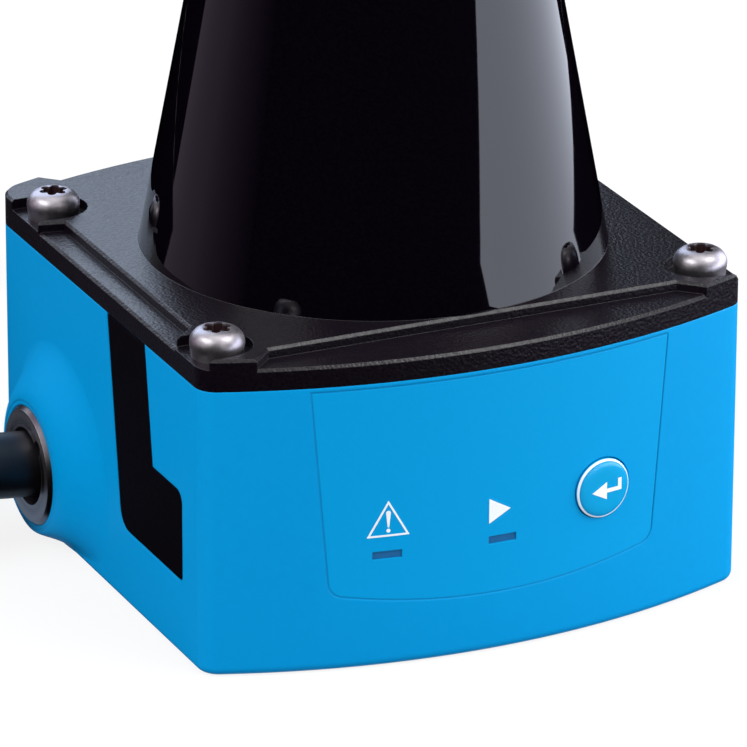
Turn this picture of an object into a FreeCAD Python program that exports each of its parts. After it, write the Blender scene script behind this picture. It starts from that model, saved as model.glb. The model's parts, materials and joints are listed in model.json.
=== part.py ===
"""Compact 2-D laser scanner: blue cast base, black optics hood, spinning mirror and put-away cable.

Frame: millimetres, X to the right, -Y to the front, +Z up.
Origin: on the scan axis, at the underside of the base.
"""
import FreeCAD, Part
import math
import os

import Sketcher

# Driving dimensions, in millimetres unless the name says otherwise
SIZES = {
    # plan of base and flange
    "half_width": 30.3,
    "side_half": 24.9,
    "rear_longer": 3.8,
    "bow": 6.1,
    "plan_corner": 2.5,
    "rear_corner": 3.5,
    # cast base
    "housing_height": 31.05,
    "foot_round": 1.0,
    "floor_wall": 2.5,
    "side_wall": 3.3,
    "end_wall": 6.0,
    "block_width": 10.3,
    "block_depth": 8.4,
    "seal_inset": 0.4,
    "seal_width": 0.9,
    "seal_height": 0.8,
    # corner screws
    "screw_from_side": 3.25,
    "screw_from_corner": 3.4,
    "screw_radius": 1.5,
    "screw_length": 9.0,
    "screw_head_radius": 2.8,
    "screw_head_height": 2.95,
    "screw_lobe_radius": 0.45,
    "screw_lobe_circle": 1.05,
    "screw_recess_depth": 1.1,
    "screw_gap": 0.05,
    "counterbore_radius": 3.6,
    # optics hood
    "flange_thick": 3.4,
    "flange_chamfer": 0.3,
    "step_depth": 1.1,
    "side_ledge_width": 2.6,
    "side_ledge_front": 15.75,
    "side_ledge_rear": 17.0,
    "side_ledge_slant_front": 2.6,
    "side_ledge_slant_rear": 0.6,
    "end_ledge_inset": 0.3,
    "end_ledge_half": 22.8,
    "end_ledge_slant": 2.3,
    "plinth_height": 0.45,
    "plinth_width": 0.12,
    "hood_base_radius": 24.3,
    "hood_top_radius": 16.0,
    "overall_height": 79.0,
    "hood_wall": 2.0,
    "hood_edge_round": 4.0,
    # operating panel
    "panel_top_gap": 0.6,
    "panel_top_half": 19.8,
    "panel_side_bottom": 8.45,
    "panel_bottom_half": 18.0,
    "panel_bow": 1.8,
    "panel_corner": 1.6,
    "panel_thick": 1.3,
    "panel_gap": 0.12,
    "window_half": 15.5,
    "window_bottom": 10.25,
    "window_top": 26.45,
    "lamp_z": 12.35,
    "fault_lamp_x": -12.2,
    "ready_lamp_x": 0.2,
    "lamp_width": 3.0,
    "lamp_height": 0.75,
    "lamp_gap": 0.04,
    "lamp_recess": 0.12,
    "button_x": 11.9,
    "button_z": 15.55,
    "button_radius": 3.2,
    "button_proud": 0.35,
    "button_round": 0.3,
    "button_gap": 0.12,
    "button_length": 3.0,
    "button_travel": 0.4,
    "front_board_thick": 1.0,
    "front_board_side_gap": 2.5,
    "front_board_bottom": 7.45,
    "front_board_top_gap": 2.6,
    "led_length": 1.6,
    "led_height": 0.8,
    "led_depth": 0.8,
    "switch_half": 2.3,
    "switch_depth": 1.5,
    "switch_plunger": 1.2,
    # service port and its cover
    "cover_top_gap": 0.2,
    "cover_top_rear": 0.9,
    "cover_top_front": 10.5,
    "cover_notch_y": 12.3,
    "cover_notch_z": 18.2,
    "cover_front": 19.8,
    "cover_bottom": 8.65,
    "cover_bottom_rear": 4.1,
    "cover_round": 2.2,
    "cover_shoulder_round": 1.2,
    "cover_tip_round": 0.5,
    "cover_thick": 1.2,
    "cover_gap": 0.15,
    "port_y": 12.0,
    "port_z": 11.5,
    "port_width": 8.4,
    "port_height": 3.6,
    "plug_gap": 0.55,
    "plug_length": 1.4,
    "socket_width": 7.5,
    "socket_height": 2.7,
    "socket_depth": 5.2,
    "socket_shell": 0.3,
    # cable outlet
    "boss_y": 15.0,
    "boss_z": 8.5,
    "boss_radius": 7.5,
    "boss_height": 2.5,
    "boss_root": 0.8,
    "boss_edge": 0.5,
    "disc_radius": 6.4,
    "disc_thick": 2.0,
    "disc_proud": 0.4,
    "disc_bore": 4.2,
    "disc_notch": 0.8,
    "disc_edge": 0.4,
    "grommet_radius": 5.0,
    "grommet_lip": 6.0,
    "grommet_lip_thick": 1.0,
    "fit_gap": 0.05,
    "cable_radius": 3.5,
    "cable_inside": 25.0,
    # mounting threads in the underside
    "thread_half_spacing": 20.0,
    "thread_radius": 1.25,
    "thread_depth": 2.8,
    "thread_boss_radius": 3.2,
    "thread_boss_roof": 1.2,
    # circuit boards
    "board_thick": 1.6,
    "board_side_gap": 2.6,
    "board_half_y": 15.0,
    "standoff_inset": 4.9,
    "standoff_y": 11.5,
    "standoff_radius": 2.2,
    "small_screw_radius": 1.0,
    "small_screw_head": 1.9,
    "small_screw_head_height": 1.3,
    "small_screw_length": 4.0,
    # motor carrier
    "post_inset_x": 3.1,
    "post_inset_y": 2.5,
    "post_radius": 2.6,
    "post_top": 20.0,
    "chassis_thick": 1.5,
    "chassis_side_gap": 1.4,
    "chassis_end_gap": 1.5,
    "chassis_tab_gap": 5.0,
    "chassis_tab_half": 5.0,
    "tube_outer": 5.0,
    "tube_flange": 8.0,
    "tube_flange_thick": 1.4,
    "tube_height": 11.5,
    "tube_shoulder": 3.4,
    "bearing_outer": 4.0,
    "bearing_height": 3.0,
    "bearing_race": 0.7,
    "shaft_radius": 1.5,
    "shaft_gap": 0.03,
    "shaft_end": 40.0,
    # motor
    "stator_radius": 10.8,
    "stator_hub": 6.6,
    "stator_height": 6.0,
    "stator_bottom": 25.5,
    "stator_tooth": 1.8,
    "stator_tip_depth": 1.0,
    "stator_tip_half": 2.8,
    "stator_teeth": 9,
    "magnet_gap": 0.5,
    "magnet_thick": 1.3,
    "bell_wall": 1.3,
    "bell_bottom": 24.5,
    "bell_top": 35.5,
    "bell_roof": 1.4,
    # scanning mirror
    "encoder_radius": 16.2,
    "encoder_thick": 0.5,
    "encoder_slots": 24,
    "encoder_slot_depth": 1.2,
    "encoder_slot_width": 1.6,
    "carrier_radius": 12.5,
    "mirror_centre": 51.0,
    "mirror_radius": 12.0,
    "mirror_thick": 1.5,
    "sensor_jaw_inner": 14.8,
    "sensor_leg_inner": 17.4,
    "sensor_outer": 21.0,
    "sensor_half": 3.0,
    "sensor_jaw": 1.8,
    "sensor_slot": 1.3,
    # receiving optics
    "ring_height": 7.3,
    "ring_thick": 2.5,
    "ring_inner": 11.0,
    "ring_wall_inner": 13.0,
    "ring_outer": 14.2,
    "ring_top_gap": 4.7,
    "bracket_foot_inner": 14.2,
    "bracket_post_inner": 18.6,
    "bracket_post_outer": 20.6,
    "bracket_foot_thick": 1.5,
    "bracket_angle": 44.0,
    "bracket_screw_x": 4.0,
    "bracket_screw_y": 15.7,
    "lens_gap": 0.1,
    "lens_rim": 1.6,
    "lens_thick": 3.6,
    "laser_radius": 3.0,
    "laser_drop": 0.2,
    "receiver_board_radius": 13.8,
    "receiver_board_thick": 1.2,
    "flex_thick": 0.2,
    "flex_angle": 22.0,
    "flex_foot": 13.0,
    # put-away cable
    "coil_x": -77.0,
    "coil_lift": 0.95,
    "coil_turn_inner": 28.0,
    "tie_width": 7.0,
    "tie_band": 0.6,
    "tie_gap": 0.35,
    "tie_angle": 220.0,
    "lead_straight": 4.2,
    "hump_near": 27.0,
    "hump_far": 13.0,
    "hump_lift": 1.5,
    "hump_rise": 0.1,
    "tail_length": 25.5,
    "connector_radius": 6.2,
    "connector_length": 18.0,
    "connector_relief_length": 11.5,
    "connector_relief_radius": 4.6,
    "connector_neck_radius": 5.2,
    "connector_neck_length": 9.5,
    "nut_radius": 7.2,
    "nut_length": 8.5,
    "nut_gap": 0.06,
    "nut_ribs": 24,
    "nut_rib_depth": 0.3,
    "nut_rib_width": 0.7,
    "insert_radius": 4.4,
    "insert_recess": 4.0,
    "pin_radius": 0.5,
    "pin_circle": 2.6,
    "pin_length": 3.0,
    "pin_count": 4,
}

DOC = FreeCAD.newDocument("lidar_sensor")
SHEET = DOC.addObject("Spreadsheet::Sheet", "sizes")
for row, (alias, number) in enumerate(SIZES.items(), start=1):
    SHEET.set(f"A{row}", alias)
    SHEET.set(f"B{row}", str(number))
    SHEET.setAlias(f"B{row}", alias)
DOC.recompute()

NODES = {}


class Size:
    """A number that keeps the sheet formula it comes from."""

    def __init__(self, value, text):
        self.value = float(value)
        self.text = text

    def __add__(self, other):
        other = as_size(other)
        return Size(self.value + other.value, f"({self.text} + {other.text})")

    def __sub__(self, other):
        other = as_size(other)
        return Size(self.value - other.value, f"({self.text} - {other.text})")

    def __mul__(self, other):
        other = as_size(other)
        return Size(self.value * other.value, f"({self.text} * {other.text})")

    def __truediv__(self, other):
        other = as_size(other)
        return Size(self.value / other.value, f"({self.text} / {other.text})")

    def __neg__(self):
        return Size(-self.value, f"(0 - {self.text})")


def as_size(number):
    """A plain number as a Size, and a Size as it is."""
    if isinstance(number, Size):
        return number
    return Size(number, repr(float(number)))


def cell(alias):
    """The sheet's value for one alias."""
    return Size(SHEET.get(alias), f"sizes.{alias}")


def bow_radius(half_chord, rise):
    """Radius of the arc that stands `rise` over a chord of twice `half_chord`."""
    return (half_chord * half_chord + rise * rise) / (rise * 2)


def bind(target, prop, size):
    """Give a property its value and the formula that drives it."""
    size = as_size(size)
    target.setExpression(prop, size.text)


def place(target, x, y, z):
    """Drive an object's position from the sheet."""
    for letter, size in zip("xyz", (x, y, z)):
        bind(target, f"Placement.Base.{letter}", size)


def publish(label, target):
    """Name an object as a finished sub-part."""
    target.Label = label
    NODES[label] = target
    return target


class Outline:
    """A closed outline of straight edges and arcs, for a sketch."""

    def __init__(self, points, arcs=None):
        self.points = [(as_size(u), as_size(v)) for u, v in points]
        self.arcs = arcs or {}

    def draw(self, sketch):
        count = len(self.points)
        corners = [FreeCAD.Vector(u.value, v.value, 0) for u, v in self.points]
        starts, ends = [], []
        for i, (a, b) in enumerate(zip(corners, corners[1:] + corners[:1])):
            if i in self.arcs:
                radius, left = self.arcs[i]
                edge, first, last = self.arc(sketch, a, b, as_size(radius), left)
            else:
                edge = sketch.addGeometry(Part.LineSegment(a, b), False)
                first, last = 1, 2
            starts.append((edge, first))
            ends.append((edge, last))
        for i, (u, v) in enumerate(self.points):
            sketch.addConstraint(Sketcher.Constraint("Coincident", *ends[i - 1], *starts[i]))
            pin(sketch, starts[i], u, v)

    @staticmethod
    def arc(sketch, a, b, radius, left):
        """An arc from a to b with its centre to the left, or right, of the way."""
        chord = b - a
        across = FreeCAD.Vector(-chord.y, chord.x, 0).normalize()
        reach = math.sqrt(max(radius.value ** 2 - (chord.Length / 2) ** 2, 0.0))
        centre = (a + b) * 0.5 + across * (reach if left else -reach)
        first, last = (a, b) if left else (b, a)
        angles = [math.atan2(p.y - centre.y, p.x - centre.x) for p in (first, last)]
        if angles[1] < angles[0]:
            angles[1] += 2 * math.pi
        circle = Part.Circle(centre, FreeCAD.Vector(0, 0, 1), radius.value)
        edge = sketch.addGeometry(Part.ArcOfCircle(circle, *angles), False)
        index = sketch.addConstraint(Sketcher.Constraint("Radius", edge, radius.value))
        bind(sketch, f"Constraints[{index}]", radius)
        return (edge, 1, 2) if left else (edge, 2, 1)


class Ring:
    """A circle, for a sketch."""

    def __init__(self, u, v, radius):
        self.u, self.v, self.radius = as_size(u), as_size(v), as_size(radius)

    def draw(self, sketch):
        centre = FreeCAD.Vector(self.u.value, self.v.value, 0)
        circle = Part.Circle(centre, FreeCAD.Vector(0, 0, 1), self.radius.value)
        edge = sketch.addGeometry(circle, False)
        pin(sketch, (edge, 3), self.u, self.v)
        index = sketch.addConstraint(Sketcher.Constraint("Radius", edge, self.radius.value))
        bind(sketch, f"Constraints[{index}]", self.radius)


def pin(sketch, point, u, v):
    """Hold a sketch point at (u, v) from the sketch's origin."""
    for kind, size, axis in (("DistanceX", u, -2), ("DistanceY", v, -1)):
        if size.value == 0.0:
            sketch.addConstraint(Sketcher.Constraint("PointOnObject", *point, axis))
        else:
            rule = Sketcher.Constraint(kind, -1, 1, *point, size.value)
            index = sketch.addConstraint(rule)
            bind(sketch, f"Constraints[{index}]", size)


class Solid:
    """A PartDesign body grown feature by feature."""

    def __init__(self, label):
        self.body = DOC.addObject("PartDesign::Body", label)
        self.body.Label = label

    def sketch(self, plane, offset, outlines):
        sketch = self.body.newObject("Sketcher::SketchObject", "profile")
        for datum in self.body.Origin.OriginFeatures:
            if datum.Role == plane:
                sketch.AttachmentSupport = (datum, [""])
        sketch.MapMode = "FlatFace"
        bind(sketch, "AttachmentOffset.Base.z", offset)
        for outline in outlines:
            outline.draw(sketch)
        return sketch

    def feature(self, kind, sketch):
        feature = self.body.newObject(f"PartDesign::{kind}", kind.lower())
        feature.Profile = sketch
        return feature

    def pad(self, outlines, length, offset=0, plane="XY_Plane", reverse=False):
        feature = self.feature("Pad", self.sketch(plane, offset, outlines))
        bind(feature, "Length", length)
        feature.Reversed = reverse
        return feature

    def pocket(self, outlines, length, offset=0, plane="XY_Plane", reverse=False):
        DOC.recompute()
        before = self.body.Shape.Volume
        feature = self.feature("Pocket", self.sketch(plane, offset, outlines))
        bind(feature, "Length", length)
        feature.Reversed = reverse
        DOC.recompute()
        if self.body.Shape.Volume >= before:
            raise RuntimeError(f"a pocket of {self.body.Label} removes nothing")
        return feature

    def turn(self, outline, plane="XZ_Plane", kind="Revolution", angle=360.0):
        """Turn an outline about the sketch's upright axis, part of a turn evenly to both sides."""
        sketch = self.sketch(plane, 0, [outline])
        feature = self.feature(kind, sketch)
        feature.ReferenceAxis = (sketch, ["V_Axis"])
        bind(feature, "Angle", angle)
        feature.Midplane = as_size(angle).value < 360.0
        return feature

    def polar(self, original, count):
        """Repeat a feature evenly round the upright axis."""
        pattern = self.body.newObject("PartDesign::PolarPattern", "polar")
        pattern.Originals = [original]
        for datum in self.body.Origin.OriginFeatures:
            if datum.Role == "Z_Axis":
                pattern.Axis = (datum, [""])
        pattern.Angle = 360.0
        bind(pattern, "Occurrences", count)
        self.body.Tip = pattern
        return pattern

    def dress(self, kind, prop, size, choose):
        """Fillet or chamfer the edges that a test picks out."""
        DOC.recompute()
        tip = self.body.Tip
        names = [f"Edge{i}" for i, edge in enumerate(tip.Shape.Edges, start=1) if choose(edge)]
        feature = self.body.newObject(f"PartDesign::{kind}", kind.lower())
        feature.Base = (tip, names)
        bind(feature, prop, size)
        DOC.recompute()
        return feature

    def publish(self):
        return publish(self.body.Label, self.body)


def box_outline(u0, v0, u1, v1):
    """A rectangle between two corners."""
    return Outline([(u0, v0), (u1, v0), (u1, v1), (u0, v1)])


def box(label, low, high):
    """A box between two corners, as a primitive."""
    low = [as_size(size) for size in low]
    solid = DOC.addObject("Part::Box", label)
    for prop, a, b in zip(("Length", "Width", "Height"), low, high):
        bind(solid, prop, as_size(b) - a)
    place(solid, *low)
    return solid


def rod(label, radius, length, start, axis="Z"):
    """A cylinder from a start point along an axis, as a primitive."""
    turns = {
        "Z": FreeCAD.Rotation(),
        "Y": FreeCAD.Rotation(FreeCAD.Vector(1, 0, 0), -90),
        "X": FreeCAD.Rotation(FreeCAD.Vector(0, 1, 0), 90),
    }
    solid = DOC.addObject("Part::Cylinder", label)
    solid.Placement = FreeCAD.Placement(FreeCAD.Vector(), turns[axis])
    bind(solid, "Radius", radius)
    bind(solid, "Height", length)
    place(solid, *start)
    return solid


def cut(label, base, tool):
    result = DOC.addObject("Part::Cut", label)
    result.Base, result.Tool = base, tool
    return result


def common(label, base, tool):
    result = DOC.addObject("Part::Common", label)
    result.Base, result.Tool = base, tool
    return result


def fuse(label, shapes):
    result = DOC.addObject("Part::MultiFuse", label)
    result.Shapes = shapes
    return result


def along(edge, axis):
    """Whether an edge is straight and runs along the X (0), Y (1) or Z (2) axis."""
    if not isinstance(edge.Curve, Part.Line):
        return False
    return abs(abs(edge.Curve.Direction[axis]) - 1) < 1e-6


# Values that several pieces share
half_width = cell("half_width")
side_half = cell("side_half")
bow = cell("bow")
plan_arc = bow_radius(half_width, bow)
front = side_half + bow
rear_longer = cell("rear_longer")
side_rear = side_half + rear_longer
arc_centre_y = plan_arc - front
housing_top = cell("housing_height")
flange_top = housing_top + cell("flange_thick")
step_floor = flange_top - cell("step_depth")
floor_top = cell("floor_wall")
cavity_x = half_width - cell("side_wall")
cavity_y = front - cell("end_wall")
block_x = half_width - cell("block_width")
block_y = side_half - cell("block_depth")
screw_x = half_width - cell("screw_from_side")
screw_y = side_half - cell("screw_from_corner")
board_half_x = cavity_x - cell("board_side_gap")
standoff_x = board_half_x - cell("standoff_inset")
chassis_half_x = block_x - cell("chassis_side_gap")
chassis_half_y = cavity_y - cell("chassis_end_gap")
post_x = chassis_half_x - cell("post_inset_x")
post_y = chassis_half_y - cell("post_inset_y")
cover_top = housing_top - cell("cover_top_gap")
port_y = -cell("port_y")
port_z = cell("port_z")
board_top = port_z - cell("socket_height") / 2
board_bottom = board_top - cell("board_thick")
boss_face = half_width + cell("boss_height")
boss_y = cell("boss_y")
boss_z = cell("boss_z")
chassis_bottom = cell("post_top")
chassis_top = chassis_bottom + cell("chassis_thick")
hood_foot = flange_top + cell("plinth_height")
hood_slope = (cell("hood_base_radius") - cell("hood_top_radius")) / (cell("overall_height") - hood_foot)
REACH = 8.0


def plan_outline():
    """The plan of base and flange: straight sides, bowed front and rear."""
    corners = [(-half_width, -side_half), (half_width, -side_half), (half_width, side_rear), (-half_width, side_rear)]
    return Outline(corners, {0: (plan_arc, True), 2: (plan_arc, True)})


def cavity_outline(grow=0):
    """A cross that leaves a block in each corner for its screw."""
    x0, x1 = block_x + grow, cavity_x + grow
    y0, y1 = block_y + grow, cavity_y + grow
    y2 = y1 + rear_longer
    return Outline([
        (x1, y0), (x0, y0), (x0, y2), (-x0, y2), (-x0, y0), (-x1, y0),
        (-x1, -y0), (-x0, -y0), (-x0, -y1), (x0, -y1), (x0, -y0), (x1, -y0),
    ])


def round_plan(solid):
    """Round the upright corners, more at the rear than at the front."""
    solid.dress("Fillet", "Radius", cell("plan_corner"), lambda edge: along(edge, 2) and edge.BoundBox.YMax < 0)
    solid.dress("Fillet", "Radius", cell("rear_corner"),
                lambda edge: along(edge, 2) and edge.BoundBox.YMin > side_half.value)


def corner_places(u, v):
    """The four corner places of a pattern that is even about both axes."""
    return [(-u, -v), (u, -v), (-u, v), (u, v)]


def bowed_band(label, outer, inner):
    """A tall shell between two radii about the axis of the bowed front."""
    height = housing_top + REACH
    base = Size(0, "0")
    skin = rod(f"{label}_skin", outer, height, (base, arc_centre_y, base))
    core = rod(f"{label}_core", inner, height, (base, arc_centre_y, base))
    return cut(label, skin, core)


def panel_block(label, grow):
    """The panel's outline carried straight through the front."""
    top = housing_top - cell("panel_top_gap") + grow
    side = cell("panel_side_bottom") - grow
    upper = cell("panel_top_half") + grow
    lower = cell("panel_bottom_half") + grow
    sweep = bow_radius(lower, cell("panel_bow"))
    outline = Outline([(-upper, top), (-lower, side), (lower, side), (upper, top)], {1: (sweep, True)})
    block = Solid(label)
    block.pad([outline], REACH + REACH, front + REACH / 2, "XZ_Plane", reverse=True)
    low = side.value + 1e-3

    def at_bottom_corner(edge):
        return along(edge, 1) and edge.BoundBox.ZMax < low

    block.dress("Fillet", "Radius", cell("panel_corner") + grow, at_bottom_corner)
    return block.body


def cover_outline(grow=0):
    """The rubber cover's outline on the left side: a strap that widens into a pad."""
    notch_z = cell("cover_notch_z") + grow
    bottom = cell("cover_bottom") - grow
    return Outline([
        (-cell("cover_top_rear") + grow, cover_top),
        (-cell("cover_bottom_rear") + grow, bottom),
        (-cell("cover_front") - grow, bottom),
        (-cell("cover_front") - grow, notch_z),
        (-cell("cover_notch_y") - grow, notch_z),
        (-cell("cover_top_front") - grow, cover_top),
    ])


def round_cover(solid, grow):
    """Round the pad's shoulder, its lower front tip and its lower rear corner."""
    front_y = -(cell("cover_front") + grow).value
    rear_y = (-cell("cover_bottom_rear") + grow).value
    notch_z = (cell("cover_notch_z") + grow).value
    bottom = (cell("cover_bottom") - grow).value
    corners = [("cover_shoulder_round", front_y, notch_z), ("cover_tip_round", front_y, bottom),
               ("cover_round", rear_y, bottom)]
    for name, at_y, at_z in corners:

        def at_corner(edge, y=at_y, z=at_z):
            middle = edge.BoundBox.Center
            return along(edge, 0) and abs(middle.y - y) < 1e-3 and abs(middle.z - z) < 1e-3

        solid.dress("Fillet", "Radius", cell(name) + grow, at_corner)


def make_housing():
    """The cast base."""
    casting = Solid("casting")
    casting.pad([plan_outline()], housing_top)
    round_plan(casting)
    casting.dress("Fillet", "Radius", cell("foot_round"), lambda edge: edge.BoundBox.ZMax < 1e-6)
    casting.pocket([cavity_outline()], housing_top - floor_top, housing_top)
    # seal groove in the rim
    inset = cell("seal_inset")
    groove = [cavity_outline(inset), cavity_outline(inset + cell("seal_width"))]
    casting.pocket(groove, cell("seal_height"), housing_top)
    # posts for the motor carrier, standoffs for the board, bosses over the mounting threads
    posts = [Ring(u, v, cell("post_radius")) for u, v in corner_places(post_x, post_y)]
    casting.pad(posts, chassis_bottom - floor_top, floor_top)
    standoffs = [Ring(u, v, cell("standoff_radius")) for u, v in corner_places(standoff_x, cell("standoff_y"))]
    casting.pad(standoffs, board_bottom - floor_top, floor_top)
    threads = [(-cell("thread_half_spacing"), 0), (cell("thread_half_spacing"), 0)]
    roof = cell("thread_depth") + cell("thread_boss_roof")
    casting.pad([Ring(u, v, cell("thread_boss_radius")) for u, v in threads], roof - floor_top, floor_top)
    casting.pocket([Ring(u, v, cell("thread_radius")) for u, v in threads], cell("thread_depth"), 0, reverse=True)
    # screw holes
    hole = cell("screw_radius") + cell("screw_gap")
    corner_holes = [Ring(u, v, hole) for u, v in corner_places(screw_x, screw_y)]
    casting.pocket(corner_holes, cell("screw_length"), housing_top)
    small_hole = cell("small_screw_radius") + cell("screw_gap")
    post_holes = [Ring(u, v, small_hole) for u, v in corner_places(post_x, post_y)]
    casting.pocket(post_holes, cell("small_screw_length"), chassis_bottom)
    board_holes = [Ring(u, v, small_hole) for u, v in corner_places(standoff_x, cell("standoff_y"))]
    casting.pocket(board_holes, cell("small_screw_length"), board_bottom)
    # window behind the panel
    half = cell("window_half")
    window = box_outline(-half, cell("window_bottom"), half, cell("window_top"))
    casting.pocket([window], cell("end_wall") + 1, front + 1, "XZ_Plane")
    # recess and port under the rubber cover
    recess = Solid("cover_recess")
    recess.pad([cover_outline(cell("cover_gap"))], cell("cover_thick") + 1, -half_width - 1, "YZ_Plane")
    round_cover(recess, cell("cover_gap"))
    slot = box("cover_recess_top",
               (-half_width - 1, -cell("cover_top_front") - cell("cover_gap"), cover_top - 1e-3),
               (-half_width + cell("cover_thick"), -cell("cover_top_rear") + cell("cover_gap"), housing_top + 1))
    port = box("cover_port",
               (-half_width, port_y - cell("port_width") / 2, port_z - cell("port_height") / 2),
               (-cavity_x + 1, port_y + cell("port_width") / 2, port_z + cell("port_height") / 2))
    # cable boss with a small root and a rounded rim
    boss = Solid("cable_boss")
    root, edge, height = cell("boss_root"), cell("boss_edge"), cell("boss_height")
    radius = cell("boss_radius")
    profile = Outline(
        [(0, -cell("side_wall")), (radius + root, -cell("side_wall")), (radius + root, 0), (radius, root),
         (radius, height - edge), (radius - edge, height), (0, height)],
        {2: (root, False), 4: (edge, True)})
    boss.turn(profile)
    boss.body.Placement = FreeCAD.Placement(FreeCAD.Vector(), FreeCAD.Rotation(FreeCAD.Vector(0, 1, 0), -90))
    place(boss.body, -half_width, boss_y, boss_z)
    below = box("below_base", (-boss_face - 1, boss_y - REACH * 2, -REACH), (half_width, boss_y + REACH * 2, 0))
    seat = rod("disc_seat", cell("disc_radius") + cell("fit_gap"), cell("disc_thick"),
               (-boss_face - cell("disc_proud"), boss_y, boss_z), "X")
    bore = rod("cable_bore", cell("grommet_radius") + cell("fit_gap"), boss_face - cavity_x + 2,
               (-boss_face - 1, boss_y, boss_z), "X")
    lip_seat = rod("grommet_lip_seat", cell("grommet_lip") + cell("fit_gap"), cavity_x - block_x + 1,
                   (-cavity_x, boss_y, boss_z), "X")
    panel_seat = common("panel_seat", panel_block("panel_seat_block", cell("panel_gap")),
                        bowed_band("panel_seat_band", plan_arc + 1, plan_arc - cell("panel_thick")))
    body = cut("base_with_boss", fuse("base_and_boss", [casting.body, boss.body]), below)
    tools = fuse("base_cuts", [recess.body, slot, port, seat, bore, lip_seat, panel_seat])
    publish("housing", cut("housing", body, tools))


def flange_rim(edge):
    """Tell whether an edge is on the flange's upper rim: the raised face, or the outside of a ledge."""
    low, high = edge.BoundBox.ZMin, edge.BoundBox.ZMax
    if high - low > 1e-6:
        return False
    if abs(high - flange_top.value) < 1e-6:
        return True
    if abs(high - step_floor.value) > 1e-6:
        return False
    if isinstance(edge.Curve, Part.Circle):
        return True
    return along(edge, 1) and abs(abs(edge.BoundBox.Center.x) - half_width.value) < 1e-6


def make_hood():
    """Flange and tapered hood, moulded in one."""
    hood = Solid("optics_hood")
    hood.pad([plan_outline()], cell("flange_thick"), housing_top)
    round_plan(hood)
    # ledges along the four sides, then the screw seats, each open to the side
    inner_x = half_width - cell("side_ledge_width")
    near, far = cell("side_ledge_front"), cell("side_ledge_rear")
    slant = (cell("side_ledge_slant_front"), cell("side_ledge_slant_rear"))
    for side in (1, -1):
        outer = (half_width + 1) * side
        inner = inner_x * side
        grow_front = slant[0] * (cell("side_ledge_width") + 1) / cell("side_ledge_width")
        grow_rear = slant[1] * (cell("side_ledge_width") + 1) / cell("side_ledge_width")
        hood.pocket([Outline([(inner, -near), (outer, -near - grow_front), (outer, far + grow_rear),
                              (inner, far)])], cell("step_depth"), flange_top)
    half, spread = cell("end_ledge_half"), cell("end_ledge_slant")
    for side, straight in ((1, side_rear), (-1, side_half)):
        inner_y = straight - cell("end_ledge_inset")
        outer = (straight + bow + 1) * side
        hood.pocket([Outline([(-half, inner_y * side), (-half - spread * 2, (inner_y + spread * 2) * side),
                              (-half - spread * 2, outer), (half + spread * 2, outer),
                              (half + spread * 2, (inner_y + spread * 2) * side), (half, inner_y * side)])],
                    cell("step_depth"), flange_top)
    hood.dress("Chamfer", "Size", cell("flange_chamfer"), flange_rim)
    radius = cell("counterbore_radius")
    hood.pocket([Ring(u, v, radius) for u, v in corner_places(screw_x, screw_y)], cell("step_depth"), flange_top)
    mouths = []
    for u, v in corner_places(screw_x, screw_y):
        reach = cell("screw_from_side") + 1
        outer = u + reach if u.value > 0 else u - reach
        mouths.append(box_outline(u, v - radius, outer, v + radius))
    hood.pocket(mouths, cell("step_depth"), flange_top)
    hole = cell("screw_radius") + cell("screw_gap") * 2
    hood.pocket([Ring(u, v, hole) for u, v in corner_places(screw_x, screw_y)], cell("flange_thick"), step_floor)
    top = cell("overall_height")
    rise = cell("hood_edge_round")
    shoulder = cell("hood_top_radius") + hood_slope * rise
    base_radius = cell("hood_base_radius")
    arc = bow_radius(rise * math.sqrt(0.5), rise * (1 - math.sqrt(0.5)))
    profile = Outline([
        (0, flange_top), (base_radius + cell("plinth_width"), flange_top), (base_radius, hood_foot),
        (shoulder, top - rise), (shoulder - rise, top), (0, top),
    ], {3: (arc, True)})
    hood.turn(profile)
    wall = cell("hood_wall")
    inner_top = top - wall
    inner_base = base_radius - wall
    inner_shoulder = shoulder - wall
    hollow = Outline([
        (0, housing_top), (inner_base, housing_top), (inner_base, hood_foot),
        (inner_shoulder, top - rise), (shoulder - rise, inner_top), (0, inner_top),
    ])
    hood.turn(hollow, kind="Groove")
    hood.publish()


def fastener(label, places, head_z, radius, length, head_radius, head_height, recess=True):
    """A group of pan-head screws, heads up, with a six-lobe recess."""
    r, low, head, tall = (size.value for size in (radius, length, head_radius, head_height))
    crown = head * 0.45
    brim = tall * 0.45
    side = FreeCAD.Vector(head, 0, brim)
    mid = FreeCAD.Vector(head * 0.86, 0, tall * 0.83)
    top = FreeCAD.Vector(crown, 0, tall)
    edges = [
        Part.makeLine((0, 0, -low), (r, 0, -low)),
        Part.makeLine((r, 0, -low), (r, 0, 0)),
        Part.makeLine((r, 0, 0), (head * 0.94, 0, 0)),
        Part.makeLine(FreeCAD.Vector(head * 0.94, 0, 0), side),
        Part.Arc(side, mid, top).toShape(),
        Part.makeLine(top, FreeCAD.Vector(0, 0, tall)),
        Part.makeLine((0, 0, tall), (0, 0, -low)),
    ]
    screw = Part.Face(Part.Wire(edges)).revolve(FreeCAD.Vector(), FreeCAD.Vector(0, 0, 1), 360)
    if recess:
        depth = cell("screw_recess_depth").value
        circle = cell("screw_lobe_circle").value
        lobe = cell("screw_lobe_radius").value
        start = FreeCAD.Vector(0, 0, tall - depth)
        tool = Part.makeCylinder(circle, depth + 1, start)
        for k in range(6):
            turn = math.radians(60 * k)
            centre = start + FreeCAD.Vector(math.cos(turn), math.sin(turn), 0) * circle
            tool = tool.fuse(Part.makeCylinder(lobe, depth + 1, centre))
        screw = screw.cut(tool)
    copies = []
    for u, v in places:
        copy = screw.copy()
        copy.translate(FreeCAD.Vector(as_size(u).value, as_size(v).value, as_size(head_z).value))
        copies.append(copy)
    group = DOC.addObject("Part::Feature", label)
    group.Shape = Part.makeCompound(copies)
    publish(label, group)


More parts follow.
